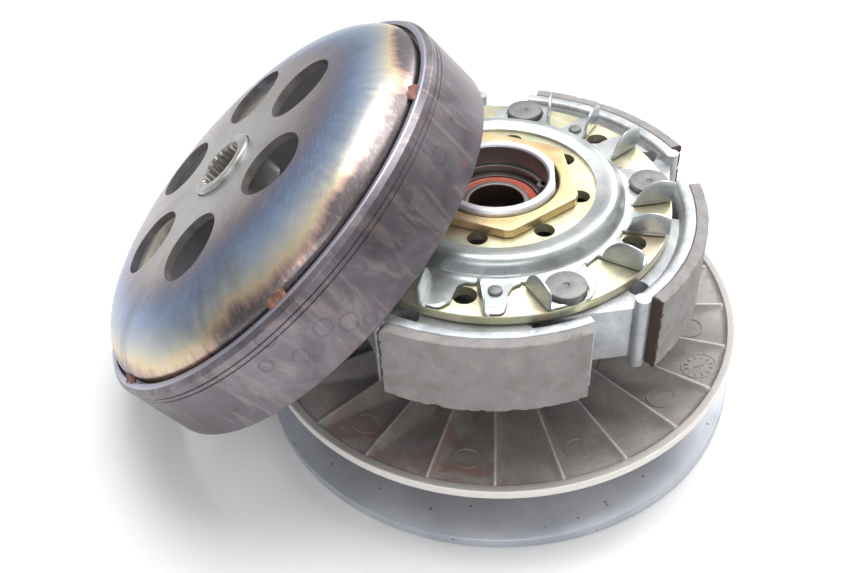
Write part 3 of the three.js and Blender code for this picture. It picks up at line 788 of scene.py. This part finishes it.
def on_back(shape, radius, degrees, tilt):
    turn = Matrix.Rotation(math.radians(degrees), 4, "Z")
    there = Matrix.Translation((radius, 0, pocket_floor(radius) + 0.05))
    return moved(shape, turn @ there @ tilt)


# ---- hub, bearings, springs and seals ----


def flats(radius, z, angle):
    """Two flats across the threaded end."""
    if z < 85.2 or radius < 20:
        return radius, z
    reach = FLAT_X / max(abs(math.cos(math.radians(angle))), 1e-6)
    return min(radius, max(reach, 19.4)), z


def hub_tube():
    shape = turned([
        (14.9, 0.5), (24, 0.5, 0.4), (24, 84.7, 0.4), (THREAD_R - 0.6, 84.7), (THREAD_R - 0.6, 85.4),
        (THREAD_R, 85.9), (THREAD_R, TUBE_TOP - 0.9, 0.3), (THREAD_R - 0.8, TUBE_TOP, 0.3),
        (19.3, TUBE_TOP, 0.3), (18.6, TUBE_TOP - 0.7, 0.2), (18.6, 85.9), (19.7, 85.9), (19.7, 84.1),
        (18.6, 84.1), (18.6, 72.7), (16.5, 72.7), (16.5, 69), (20, 65), (20, 24), (14.9, 20.5),
    ], 256, flats)
    obj = put("hub_shaft_tube", shape, PULLEY)
    settle(obj, "pulley", MATERIALS["polished"], ["hub_tube"])


def simple_turned_pieces():
    """Turned pieces without more shape than their outline: name, node, body, slot, material, outline."""
    top = BEARING_TOP
    rows = [
        ("outer_race", "bearing_outer_ring", "pulley", "bearing_steel", "polished", [
            (15.7, BEARING_Z, 0.3), (18.3, BEARING_Z, 0.5), (18.3, top, 0.5), (15.7, top, 0.3),
             (16.3, 77.5, 1)]),
        ("inner_race", "bearing_inner_ring", "bearing_inner", "bearing_steel", "polished", [
            (10, BEARING_Z, 0.5), (12.3, BEARING_Z, 0.3), (11.7, 77.5, 1), (12.3, top, 0.3), (10, top, 0.5)]),
        ("dust_seal", "bearing_seal", "pulley", "red_seal", "red_seal", [
            (12.5, 80.6), (15.5, 80.6), (15.5, 81.5, 0.2), (14.8, 81.7, 0.2), (14.2, 81.4, 0.3),
            (13.4, 81.4, 0.3), (13.0, 81.7, 0.2), (12.5, 81.5, 0.2)]),
        ("needle_sleeve", "needle_bearing", "pulley", "spring_steel", "spring_steel", [
            (10.3, 1, 0.3), (14.6, 1, 0.4), (14.6, 19, 0.4), (10.3, 19, 0.3)]),
        ("spring_seat", "upper_spring_seat", "pulley", "spring_steel", "spring_steel", [
            (24.3, 76), (33, 76), (33, 73.2, 0.4), (36, 73.2, 0.6), (36, 76, 0.8), (46, 76, 0.4),
            (46, 79.5, 1.2), (24.3, 79.5)]),
        ("spring_cup", "seal_collar", "spring_collar", "silver_zinc", "silver_zinc", [
            (34.8, 29.8, 1), (46.5, 29.8, 0.5), (46.5, 31.5, 0.5), (36, 31.5, 1.2), (36, 55, 0.4),
             (34.8, 55, 0.3)]),
        ("lower_o_ring", "o_ring_lower", "movable_sheave", "black_rubber", "black_rubber", [
            (32.2, 33.2, 1), (34.5, 33.2, 1), (34.5, 35.8, 1), (32.2, 35.8, 1)]),
        ("upper_o_ring", "o_ring_upper", "movable_sheave", "black_rubber", "black_rubber", [
            (32.2, 39.7, 1), (34.5, 39.7, 1), (34.5, 42.3, 1), (32.2, 42.3, 1)]),
        ("lip_seal", "grease_seal", "movable_sheave", "black_rubber", "black_rubber", [
            (24.3, 50.5, 0.4), (34.4, 50.5, 0.8), (34.4, 53.3, 0.8), (26.5, 53.3, 0.6), (24.3, 52.2, 0.4)]),
    ]
    for name, node, body, slot, material, outline in rows:
        obj = add_object(name, mesh_of(name, turned(outline, 128)), PULLEY)
        settle(obj, body, MATERIALS[material], [node])


def retaining_ring():
    section = [(17.2, 84.45, 0.2), (19.4, 84.45, 0.2), (19.4, 85.55, 0.2), (17.2, 85.55, 0.2)]
    shape = arc_block(section, 14, 346, 3)
    ears = [disc(1.7, 84.45, 85.55, polar(17.4, side * 17), 24) for side in (-1, 1)]
    obj = put("retaining_ring", joined([shape, *ears]), PULLEY)
    settle(obj, "pulley", MATERIALS["polished"], ["snap_ring"])


def ball_set():
    """The bearing's balls in their cage."""
    arc = [math.pi * i / 12 for i in range(13)]
    half_round = [(2 * math.sin(a), -2 * math.cos(a)) for a in arc]
    shapes = [turned([(13.5, 76.4, 0.2), (14.5, 76.4, 0.2), (14.5, 78.6, 0.2), (13.5, 78.6, 0.2)], 96)]
    for i in range(9):
        x, y = polar(14, i * 40)
        shapes.append(moved(sweep(half_round, full_turn(24)), Matrix.Translation((x, y, 77.5))))
    obj = put("ball_set", joined(shapes), PULLEY)
    settle(obj, "bearing_cage", MATERIALS["polished"], ["bearing_ball_cage"])


def coil_path(radius, bottom, top, turns, closed_turns, steps=40):
    """A compression spring's line, with flat turns at both ends."""
    total = turns + 2 * closed_turns
    path = []
    for i in range(round(total * steps) + 1):
        turn = i / steps
        share = min(max((turn - closed_turns) / turns, 0), 1)
        path.append((*polar(radius, turn * 360), bottom + (top - bottom) * share))
    return path


def main_spring():
    wire = 2.5
    path = coil_path(41, 31.8 + wire, 75.7 - wire, 3.4, 0.55)
    obj = put("driven_coil", tube(path, wire, 16), PULLEY)
    settle(obj, "pulley", MATERIALS["spring_steel"], ["main_spring"])
    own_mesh(obj)


def clutch_springs():
    """Return springs under the shoes: a close coil with a hook at each end."""
    for i in range(SHOE_COUNT):
        name = f"return_coil_{i + 1}"
        obj = add_object(name, mesh_of(name, tube(clutch_spring_path(), 0.55, 10)), PULLEY)
        angle = PIN_ANGLE - i * SHOE_PITCH + SHOE_LAG + 10
        there = Matrix.Translation(Vector((*polar(60, angle), 54.4)) * MM)
        obj.matrix_world = PULLEY @ there @ Matrix.Rotation(math.radians(angle + 90), 4, "Z")
        settle(obj, "pulley", MATERIALS["gold_zinc"], [f"clutch_spring_{i + 1}"])


def clutch_spring_path():
    coil_r, length, turns = 1.6, 25.0, 20
    path = [(-length / 2 - 4.6, 0, 1.2), (-length / 2 - 5, 0, 0.2), (-length / 2 - 4.2, 0, -1.0),
            (-length / 2 - 2.2, 0, -1.3)]
    steps = turns * 12
    for k in range(steps + 1):
        turn = math.tau * turns * k / steps
        path.append((-length / 2 + length * k / steps, coil_r * math.sin(turn), -coil_r * math.cos(turn)))
    path += [(length / 2 + 2.2, 0, -1.3), (length / 2 + 4.2, 0, -1.0), (length / 2 + 5, 0, 0.2),
             (length / 2 + 4.6, 0, 1.2)]
    return path


def kept_nodes():
    """CAD nodes whose plain shape is right keep it, with a better material."""
    finishes = {"cam_sleeve": "polished"}
    for i in (1, 2, 3):
        finishes[f"guide_pin_{i}"] = "polished"
        finishes[f"guide_roller_{i}"] = "spring_steel"
    for name, material in finishes.items():
        node = frame["nodes"][name]
        node.data.materials.clear()
        node.data.materials.append(MATERIALS[material])


# ---- plates, nut, pins ----


def drive_plate():
    shape = turned([
        (22.8, DISH_TOP - 3.5), (37, DISH_TOP - 3.5, 2), (42, PLATE_BOTTOM, 2), (PLATE_R, PLATE_BOTTOM, 0.4),
        (PLATE_R, PLATE_TOP, 0.6), (43.8, PLATE_TOP, 2.5), (38.5, DISH_TOP, 2.5), (22.8, DISH_TOP),
    ], 240)
    obj = put("carrier_plate", shape, PULLEY)
    holes = [disc(3.6, 70, 99, polar(30.4, -12 + 45 * i), 40) for i in range(8)]
    for i in range(SHOE_COUNT):
        pin = PIN_ANGLE + i * SHOE_PITCH
        holes.append(disc(4.2, 70, 99, polar(54, pin - 35), 40))
    boolean(obj, [joined(holes)])
    settle(obj, "pulley", MATERIALS["yellow_zinc"], ["drive_plate"])


def fan_edge():
    """One fifth of the fan plate's outer edge as (degrees from the pin, radius), clockwise side first."""
    corners = [
        (-52.8, 48.6, 1.5), (-50.6, 49.2, 0), (-46.9, 62.9, 0.4), (-41.2, 62.9, 3), (-38.5, 59.0, 2),
        (-38.4, 51.5, 2.5), (-36.0, 48.9, 1), (-31.8, 48.8, 0.5), (-31.2, 49.4, 0), (-27.6, 62.9, 0.4),
        (-21.6, 62.9, 3.2), (-20.2, 57.5, 2), (-20.0, 53.8, 2), (-17.6, 50.2, 3), (-13.4, 48.9, 1),
        (-12.8, 49.4, 0), (-8.7, 63.0, 0.4), (5.2, 63.0, 3), (10.2, 58.8, 3), (11.8, 54.0, 2.5),
        (12.0, 51.0, 2), (15.5, 48.9, 2),
    ]
    flat = [(*polar(r, a), f) for a, r, f in corners]
    edge = []
    for x, y in filleted(flat, 5):
        angle = math.degrees(math.atan2(y, x))
        edge.append((angle, math.hypot(x, y)))
    edge.sort()
    return edge


def fan_columns():
    edge = fan_edge()
    columns = []
    for i in range(SHOE_COUNT):
        turn = PIN_ANGLE + i * SHOE_PITCH
        for (a, r), (b, s) in zip(edge, [*edge[1:], (edge[0][0] + SHOE_PITCH, edge[0][1])]):
            parts = max(1, math.ceil((b - a) / 1.2))
            for k in range(parts):
                columns.append((turn + a + (b - a) * k / parts, r + (s - r) * k / parts))
    return columns


def fan_plate():
    bead = smooth_line([(36, 89.5), (38.2, 90.0), (40.3, 90.5), (42.4, 90.4), (44.1, 89.2), (45.3, 87.0),
                        (46.3, 85.3), (47.8, 84.6)], 4)
    shares = [0.12, 0.35, 0.6, 0.85, 0.96]
    top = bead + [(48 + s, FAN_TOP) for s in shares] + [(49, FAN_TOP - 0.25)]
    under = [(r - 0.55 if r > 42 else r, z - 1.0) for r, z in top[:-1]]
    outline = top + [(49, FAN_BOTTOM + 0.25)] + under[::-1]
    columns = fan_columns()
    reach = dict((round(a, 6), r) for a, r in columns)

    def warp(radius, z, angle):
        if radius <= 48:
            return radius, z
        return 48 + (radius - 48) * (reach[round(angle, 6)] - 48), z

    obj = put("blade_plate", sweep(outline, [a for a, _ in columns], True, warp), PULLEY)
    holes = []
    for pin in [PIN_ANGLE + i * SHOE_PITCH for i in range(SHOE_COUNT)]:
        holes.append(disc(7.5, 80, 88, polar(PIN_CIRCLE_R, pin), 48))
        holes += [disc(0.8, 80, 88, polar(49.2, pin + inner - 0.9), 12) for inner, _ in BLADE_FEET]
    boolean(obj, [joined(holes)])
    blades = put("blades", joined(fan_blades()), PULLEY)
    settle(obj, "pulley", MATERIALS["silver_zinc"], ["fan_plate"])
    settle(blades, "pulley", MATERIALS["silver_zinc"])


def fan_blades():
    blades = []
    for i in range(SHOE_COUNT):
        pin = PIN_ANGLE + i * SHOE_PITCH
        for inner, outer in BLADE_FEET:
            start = Vector((*polar(49.6, pin + inner), FAN_BOTTOM))
            end = Vector((*polar(63.8, pin + outer), FAN_BOTTOM))
            blades.append(blade(start, end))
    return blades


def blade_height(share):
    """Height of a blade's top edge along its foot, a half moon that stays high at its outer end."""
    rise = max(0.0, 1 - (1 - share / 0.58) ** 2) if share < 0.58 else 1 - 0.28 * ((share - 0.58) / 0.42) ** 2
    return 0.6 + 9.4 * rise**0.62


def blade(start, end):
    """A sheet 1 mm thick that is folded up from its foot line, rounded at its edges."""
    along = (end - start).normalized()
    length = (end - start).length
    side = Vector((-along.y, along.x, 0))
    across, up = 28, 10
    bend = 1.5
    rows = []
    for i in range(across + 1):
        share = i / across
        tall = blade_height(share)
        for j in range(up + 1):
            run = tall * j / up
            if run < bend * math.pi / 2:
                turn = run / bend
                lean, high = bend * (1 - math.sin(turn)), bend * (1 - math.cos(turn))
            else:
                lean, high = 0.0, bend + run - bend * math.pi / 2
            rows.append((start + along * length * share + side * lean + Vector((0, 0, high + 0.4)), i, j))
    points, faces = [], []
    for sign in (-1, 1):
        for place, i, j in rows:
            edge = i in (0, across) or j == up
            half = 0.26 if edge else 0.48
            points.append(tuple(place + side * sign * half))
    size = len(rows)
    width = up + 1
    for i in range(across):
        for j in range(up):
            a = i * width + j
            faces.append((a, a + 1, a + width + 1, a + width))
            faces.append((size + a, size + a + width, size + a + width + 1, size + a + 1))
    rim = [i * width for i in range(across + 1)] + [across * width + j for j in range(1, width)]
    rim += [i * width + up for i in range(across - 1, -1, -1)] + list(range(up - 1, 0, -1))
    for a, b in zip(rim, [*rim[1:], rim[0]]):
        faces.append((a, b, size + b, size + a))
    return points, faces


def hexagon_reach(degrees, across):
    offset = (degrees - NUT_TURN) % 60 - 30
    return across / math.cos(math.radians(offset))


def lock_nut():
    outline = filleted([
        (22.8, NUT_BOTTOM + 0.5), (23.4, NUT_BOTTOM, 0.2), (40, NUT_BOTTOM, 0.3), (40, NUT_TOP, 0.55),
        (23.3, NUT_TOP, 0.2), (22.8, NUT_TOP - 0.5),
    ])

    def warp(radius, z, angle):
        if radius < 30:
            return radius, z
        reach = min(hexagon_reach(angle, NUT_FLAT_R), NUT_CORNER_R)
        return reach - (40 - radius), z

    angles = sorted({NUT_TURN + 60 * i + a for i in range(6)
                     for a in (0, 0.8, 1.6, 2.4, 2.8, 3.2, 3.6, 4.2, 6, 9, 13, 18, 24, 30, 36, 42, 47, 51,
                               54, 55.8, 56.4, 56.8, 57.2, 57.6, 58.4, 59.2)})
    obj = put("hexagon_nut", sweep(outline, angles, True, warp), PULLEY)
    settle(obj, "pulley", MATERIALS["gold_zinc"], ["lock_nut"])


def pins_and_rivets():
    pin_outline = filleted([
        (0, 57), (5, 57, 0.5), (5, 58.1, 0.1), (4.1, 58.1), (4.1, 59.3), (5, 59.3, 0.1), (5, 83.4, 0.2),
        (PIN_HEAD_R, 83.5, 0.2), (PIN_HEAD_R, 86.6, 0.5), (1.1, 86.75, 0.3), (0.5, 86.2, 0.2), (0, 86.2),
    ])
    clip_outline = [(4.4, 58.2, 0.2), (7.4, 58.2, 0.2), (7.4, 59.2, 0.2), (4.4, 59.2, 0.2)]
    rivet_outline = filleted([
        (0, 78.4), (2.6, 78.4, 0.4), (2.6, 79.6, 0.2), (2, 79.6), (2, 84.5), (2.5, 84.6), (2.45, 85.6, 0.6),
        (0, 86.1),
    ])
    for i in range(SHOE_COUNT):
        angle = PIN_ANGLE + i * SHOE_PITCH
        upright = Matrix.Translation(Vector((*polar(PIN_CIRCLE_R, angle), 0)) * MM)
        pin = sweep(pin_outline, full_turn(64))
        small(f"shoe_pin_{i + 1}", pin, upright, "pin_steel", f"pivot_pin_{i + 1}")
        clip = arc_block(clip_outline, 25, 335, 5)
        small(f"pin_ring_{i + 1}", clip, upright, "spring_steel", f"pin_clip_{i + 1}")
        there = Matrix.Translation(Vector((*polar(52.5, angle - 24.3), 0)) * MM)
        rivet = sweep(rivet_outline, full_turn(40))
        small(f"rivet_{i + 1}", rivet, there, "pin_steel", f"plate_rivet_{i + 1}")


def small(name, shape, place, material, node):
    obj = add_object(name, mesh_of(name, shape), PULLEY @ place)
    settle(obj, "pulley", MATERIALS[material], [node])


# ---- shoes ----


def shoe_mesh():
    """A shoe with the middle of its lining at angle 0, its pin on the clockwise side."""
    wall_outer, wall_inner = LINING_INNER_R - 0.1, 70.6
    half = WALL_HALF
    wall = arc_block([(wall_inner, SHOE_BOTTOM, 1), (wall_outer, SHOE_BOTTOM, 0.5),
                      (wall_outer, SHOE_TOP, 0.8), (wall_inner, SHOE_TOP, 1.6)], -half, half, 1.0)
    web_bottom, web_top = 57.5, PLATE_BOTTOM - 0.5
    inner_edge = wall_inner + 1
    edge = [(*polar(63.6, -SHOE_LAG), 2), (*polar(66, -38.6), 3), (*polar(inner_edge, -29.6), 1)]
    edge += [(*polar(inner_edge, a), 0) for a in (-28, -20, -12, -4, 4, 12)]
    edge += [(*polar(66.2, 14), 3), (*polar(63, 4), 2), (*polar(59, -10), 3), (*polar(54, -26), 3),
             (*polar(49, -40), 3), (*polar(47.6, -SHOE_LAG), 2)]
    web = prism(filleted(edge, 4), web_bottom, web_top)
    pin = polar(PIN_CIRCLE_R, -SHOE_LAG)
    boss = disc(8.4, web_bottom - 0.5, web_top, pin, 48)
    end_post = disc(2.6, SHOE_BOTTOM + 0.4, SHOE_TOP, polar(73.2, -half + 0.4), 32)
    ledge = arc_block([(68.4, 60, 0), (wall_inner + 1, 60, 0), (wall_inner + 1, 82.0, 0), (70.4, 81.3, 1.5),
                       (69.2, 79.0, 1)], -half + 3, half - 2, 2.0)
    obj = put("shoe_shape", wall, PULLEY)
    boolean(obj, [web, boss, end_post, ledge], "UNION")
    recess = polar(66.6, -22)
    boolean(obj, [disc(5.3, 50, 90, pin, 40), disc(3.6, 72, 90, recess, 40)])
    bevel(obj, 0.7, 3, 45)
    mesh = obj.data
    bpy.data.objects.remove(obj)
    return mesh


def lining_mesh(seed):
    """A friction lining marked by use, its edges a little chipped."""
    half = LINING_HALF
    outline = filleted([(LINING_INNER_R, SHOE_BOTTOM, 0.3), (LINING_R, SHOE_BOTTOM, 0.6),
                        (LINING_R, SHOE_TOP, 0.5), (LINING_INNER_R, SHOE_TOP, 0.3)])
    outline = dense(outline, 0.9)
    count = 110
    angles = [-half + 2 * half * i / count for i in range(count + 1)]

    def warp(radius, z, angle):
        spot = Vector((angle * 1.38, z, radius + seed * 31))
        to_end = min(half - abs(angle), 3) * 1.38
        to_edge = min(z - SHOE_BOTTOM, SHOE_TOP - z)
        chip = max(0, noise.noise(spot * 0.45) - 0.12) * max(0, 1.6 - min(to_end, to_edge + 0.3))
        shallow = 0.12 * abs(noise.noise(spot * 0.9))
        toward = 0.6 * chip * (1 if z < 68 else -0.6)
        return radius - (1.2 * chip + shallow) * (radius > LINING_R - 1), z + toward * (to_edge < 1.5)

    mesh = mesh_of("lining_shape", sweep(outline, angles, False, warp), 50)
    return mesh


def corner_cut(half):
    """A block that takes the top corner off the end nearest the pin, where the bell's lip comes close."""
    leg, size = 2, 12
    reach = size / 2
    offset = (reach - leg / math.sqrt(2)) / math.sqrt(2)
    block = prism([(-size, -reach), (size, -reach), (size, reach), (-size, reach)], -reach, reach)
    there = Matrix.Translation((LINING_R - 6, -offset, SHOE_TOP + offset))
    turn = Matrix.Rotation(math.radians(-half), 4, "Z") @ there @ Matrix.Rotation(math.radians(45), 4, "X")
    return moved(block, turn)


def dense(outline, step):
    points = []
    for a, b in zip(outline, [*outline[1:], outline[0]]):
        start, end = Vector(a), Vector(b)
        parts = max(1, round((end - start).length / step))
        points += [tuple(start.lerp(end, k / parts)) for k in range(parts)]
    return points


def shoes():
    casting = shoe_mesh()
    pin = Matrix.Translation(Vector((*polar(PIN_CIRCLE_R, -SHOE_LAG), 0)) * MM)
    for i in range(SHOE_COUNT):
        middle = Matrix.Rotation(math.radians(PIN_ANGLE - i * SHOE_PITCH + SHOE_LAG), 4, "Z")
        swing = Matrix.Rotation(math.radians(REST_SWING[i]), 4, "Z")
        place = PULLEY @ middle @ pin @ swing @ pin.inverted()
        body = f"shoe_{i + 1}"
        shoe = add_object(f"shoe_casting_{i + 1}", casting.copy(), place)
        pad = add_object(f"friction_pad_{i + 1}", lining_mesh(i), place)
        if i == UNDER_BELL:
            boolean(shoe, [corner_cut(WALL_HALF)])
            boolean(pad, [corner_cut(LINING_HALF)], sharp=50)
        settle(shoe, body, MATERIALS["cast_light"], [body])
        settle(pad, body, MATERIALS["lining"], [f"lining_{i + 1}"])


# ---- bell ----


def dome_height(radius):
    return DOME_EDGE + DOME_RISE * max(0, 1 - (radius / DOME_R) ** 5) ** 0.69


def dome():
    radii = [14.2 + i * 1.3 for i in range(44)]
    radii += [71.4, 72.8, 74.2, 75.6, 76.8, 77.9, 78.8, 79.6, 80.2, 80.7, 81.0, 81.2]
    outer = [(r, dome_height(r)) for r in radii]
    inner = [(r - max(0, r - 50) * 0.093, dome_height(r) - 3) for r in radii if r < 80]
    outline = inner + [(DOME_R - 3, 26.9), (DOME_R, 26.9), (DOME_R, DOME_EDGE)] + outer[::-1]
    obj = put("bell_cover", sweep(outline, full_turn(240)), BELL)
    holes = []
    for i in range(DOME_HOLES):
        oval = disc(13.3, 30, 60, (DOME_HOLE_R, 0), 72, 14 / 13.3)
        turn = math.radians(DOME_HOLE_ANGLE + i * 360 / DOME_HOLES)
        holes.append(moved(oval, Matrix.Rotation(turn, 4, "Z")))
    boolean(obj, [joined(holes)])
    straighten(obj)
    settle(obj, "bell", MATERIALS["dome"], ["bell_dome"])


def drum():
    groove = []
    for z in (22.7, 24.6):
        groove += [(DRUM_R, z - 0.35), (DRUM_R - 0.45, z - 0.1), (DRUM_R - 0.45, z + 0.1), (DRUM_R, z + 0.35)]
    outline = filleted([
        (DRUM_BORE_R, 0, 0.6), (DRUM_R, 0, 0.8), *groove, (DRUM_R, 27.4, 0.5), (84.6, DRUM_LENGTH, 0.4),
        (82.8, DRUM_LENGTH, 0.3), (82.8, 26.5), (DRUM_BORE_R, 26.5),
    ])
    obj = put("bell_wall", sweep(outline, full_turn(288)), BELL, 30)
    straighten(obj)
    settle(obj, "bell", MATERIALS["drum"], ["bell_drum"])


def bell_hub():
    outline = filleted([
        (8, 30), (12.6, 30, 0.5), (12.6, 38), (19, 40.5), (19, 43.4), (13.8, 43.4, 0.3),
        (13.8, BELL_HUB_TOP, 0.7), (9.9, BELL_HUB_TOP, 0.3), (8, BELL_HUB_TOP - 0.8),
    ])
    per_tooth = 8
    count = SPLINE_TEETH * per_tooth

    def warp(radius, z, angle):
        if radius > 8.5:
            return radius, z
        phase = angle * SPLINE_TEETH / 360 % 1
        wave = min(max(0.5 + 1.4 * math.sin(math.tau * phase), 0), 1)
        return 8.6 + 1.1 * wave, z

    obj = put("splined_boss", sweep(outline, full_turn(count), True, warp), BELL)
    straighten(obj)
    settle(obj, "bell", MATERIALS["boss"], ["bell_hub"])


def weld_tacks():
    """Rough tacks that hold the cover in the drum, midway between the holes."""
    shapes = []
    for i in range(DOME_HOLES):
        angle = DOME_HOLE_ANGLE + 30 + i * 60
        there = Matrix.Translation((*polar(81.9, angle), 29.9))
        turn = Matrix.Rotation(math.radians(angle), 4, "Z") @ Matrix.Rotation(math.radians(35), 4, "Y")
        shapes.append(moved(tack(i), there @ turn))
    obj = put("weld_tacks", joined(shapes), BELL, 60)
    straighten(obj)
    settle(obj, "bell", MATERIALS["weld"])


def tack(seed):
    """A flat lump with a sunken middle."""
    count = 14
    profile = []
    for k in range(count + 1):
        a = math.pi * k / count
        profile.append((3.9 * math.sin(a), -1.3 * math.cos(a) - (0.55 if k > 11 else 0)))

    def warp(radius, z, angle):
        x, y = polar(radius, angle)
        bump = noise.noise(Vector((x, y, z + seed * 17)) * 0.55)
        return radius * (1 + 0.22 * bump), z * (1 + 0.4 * bump)

    return sweep(profile, full_turn(32), True, warp)


# ---- stage ----


def table():
    size = 6000
    shape = prism([(-size, -size), (size, -size), (size, size), (-size, size)], -20, 0)
    floor = put("table", shape, PULLEY)
    floor.data.materials.append(table_white())


def area_light(name, place, aim, size, power, colour=(1, 1, 1)):
    data = bpy.data.lights.new(name, "AREA")
    data.shape = "RECTANGLE"
    data.size, data.size_y = size
    data.energy = power
    data.color = colour
    lamp = bpy.data.objects.new(name, data)
    bpy.context.scene.collection.objects.link(lamp)
    lamp.location = place
    lamp.rotation_euler = (Vector(aim) - Vector(place)).to_track_quat("-Z", "Y").to_euler()


def lights():
    world = bpy.data.worlds.new("studio")
    bpy.context.scene.world = world
    world.use_nodes = True
    tree = world.node_tree
    sky = tree.nodes["Background"]
    place = tree.nodes.new("ShaderNodeTexCoord")
    toward = tree.nodes.new("ShaderNodeVectorMath")
    toward.operation = "DOT_PRODUCT"
    toward.inputs[1].default_value = Vector(BRIGHT_SIDE).normalized()
    tone = tree.nodes.new("ShaderNodeValToRGB")
    tree.links.new(place.outputs["Generated"], toward.inputs[0])
    tree.links.new(toward.outputs["Value"], tone.inputs[0])
    tree.links.new(tone.outputs[0], sky.inputs["Color"])
    stops = tone.color_ramp.elements
    stops[0].position, stops[0].color = 0.0, (0.3, 0.3, 0.31, 1)
    stops[1].position, stops[1].color = 0.85, (1.0, 1.0, 1.0, 1)
    sky.inputs["Strength"].default_value = 0.85
    area_light("overhead", (0.1, 0.3, 1.1), (0, 0, 0.05), (0.9, 0.7), 10)
    area_light("back_right", (0.65, 0.85, 0.7), (0.03, 0, 0.08), (0.6, 0.6), 6)
    area_light("front_fill", (0.1, -1.1, 0.8), (0.02, 0, 0.05), (1.0, 0.5), 4)


def camera():
    """Above the pulley's front, looking down at 42 degrees, with a slight turn and tilt."""
    yaw, pitch, roll = -0.088, 0.73, -0.056
    ahead = Vector((math.sin(yaw) * math.cos(pitch), math.cos(yaw) * math.cos(pitch), -math.sin(pitch)))
    level = Vector((math.cos(yaw), -math.sin(yaw), 0))
    upright = level.cross(ahead)
    right = level * math.cos(roll) + upright * math.sin(roll)
    up = upright * math.cos(roll) - level * math.sin(roll)
    data = bpy.data.cameras.new("camera")
    data.sensor_width = 36
    data.lens = 41.95
    data.clip_start = 0.01
    made = bpy.data.objects.new("camera", data)
    bpy.context.scene.collection.objects.link(made)
    turn = Matrix((right, up, -ahead)).transposed().to_4x4()
    made.matrix_world = PULLEY @ Matrix.Translation(Vector((0, -294.9, 304.5)) * MM) @ turn
    bpy.context.scene.camera = made


def build():
    camera()
    fixed_sheave()
    movable_sheave()
    hub_tube()
    simple_turned_pieces()
    retaining_ring()
    ball_set()
    main_spring()
    clutch_springs()
    kept_nodes()
    drive_plate()
    fan_plate()
    lock_nut()
    pins_and_rivets()
    shoes()
    dome()
    drum()
    bell_hub()
    weld_tacks()
    table()
    lights()
    bpy.context.scene.view_settings.view_transform = "Standard"


build()
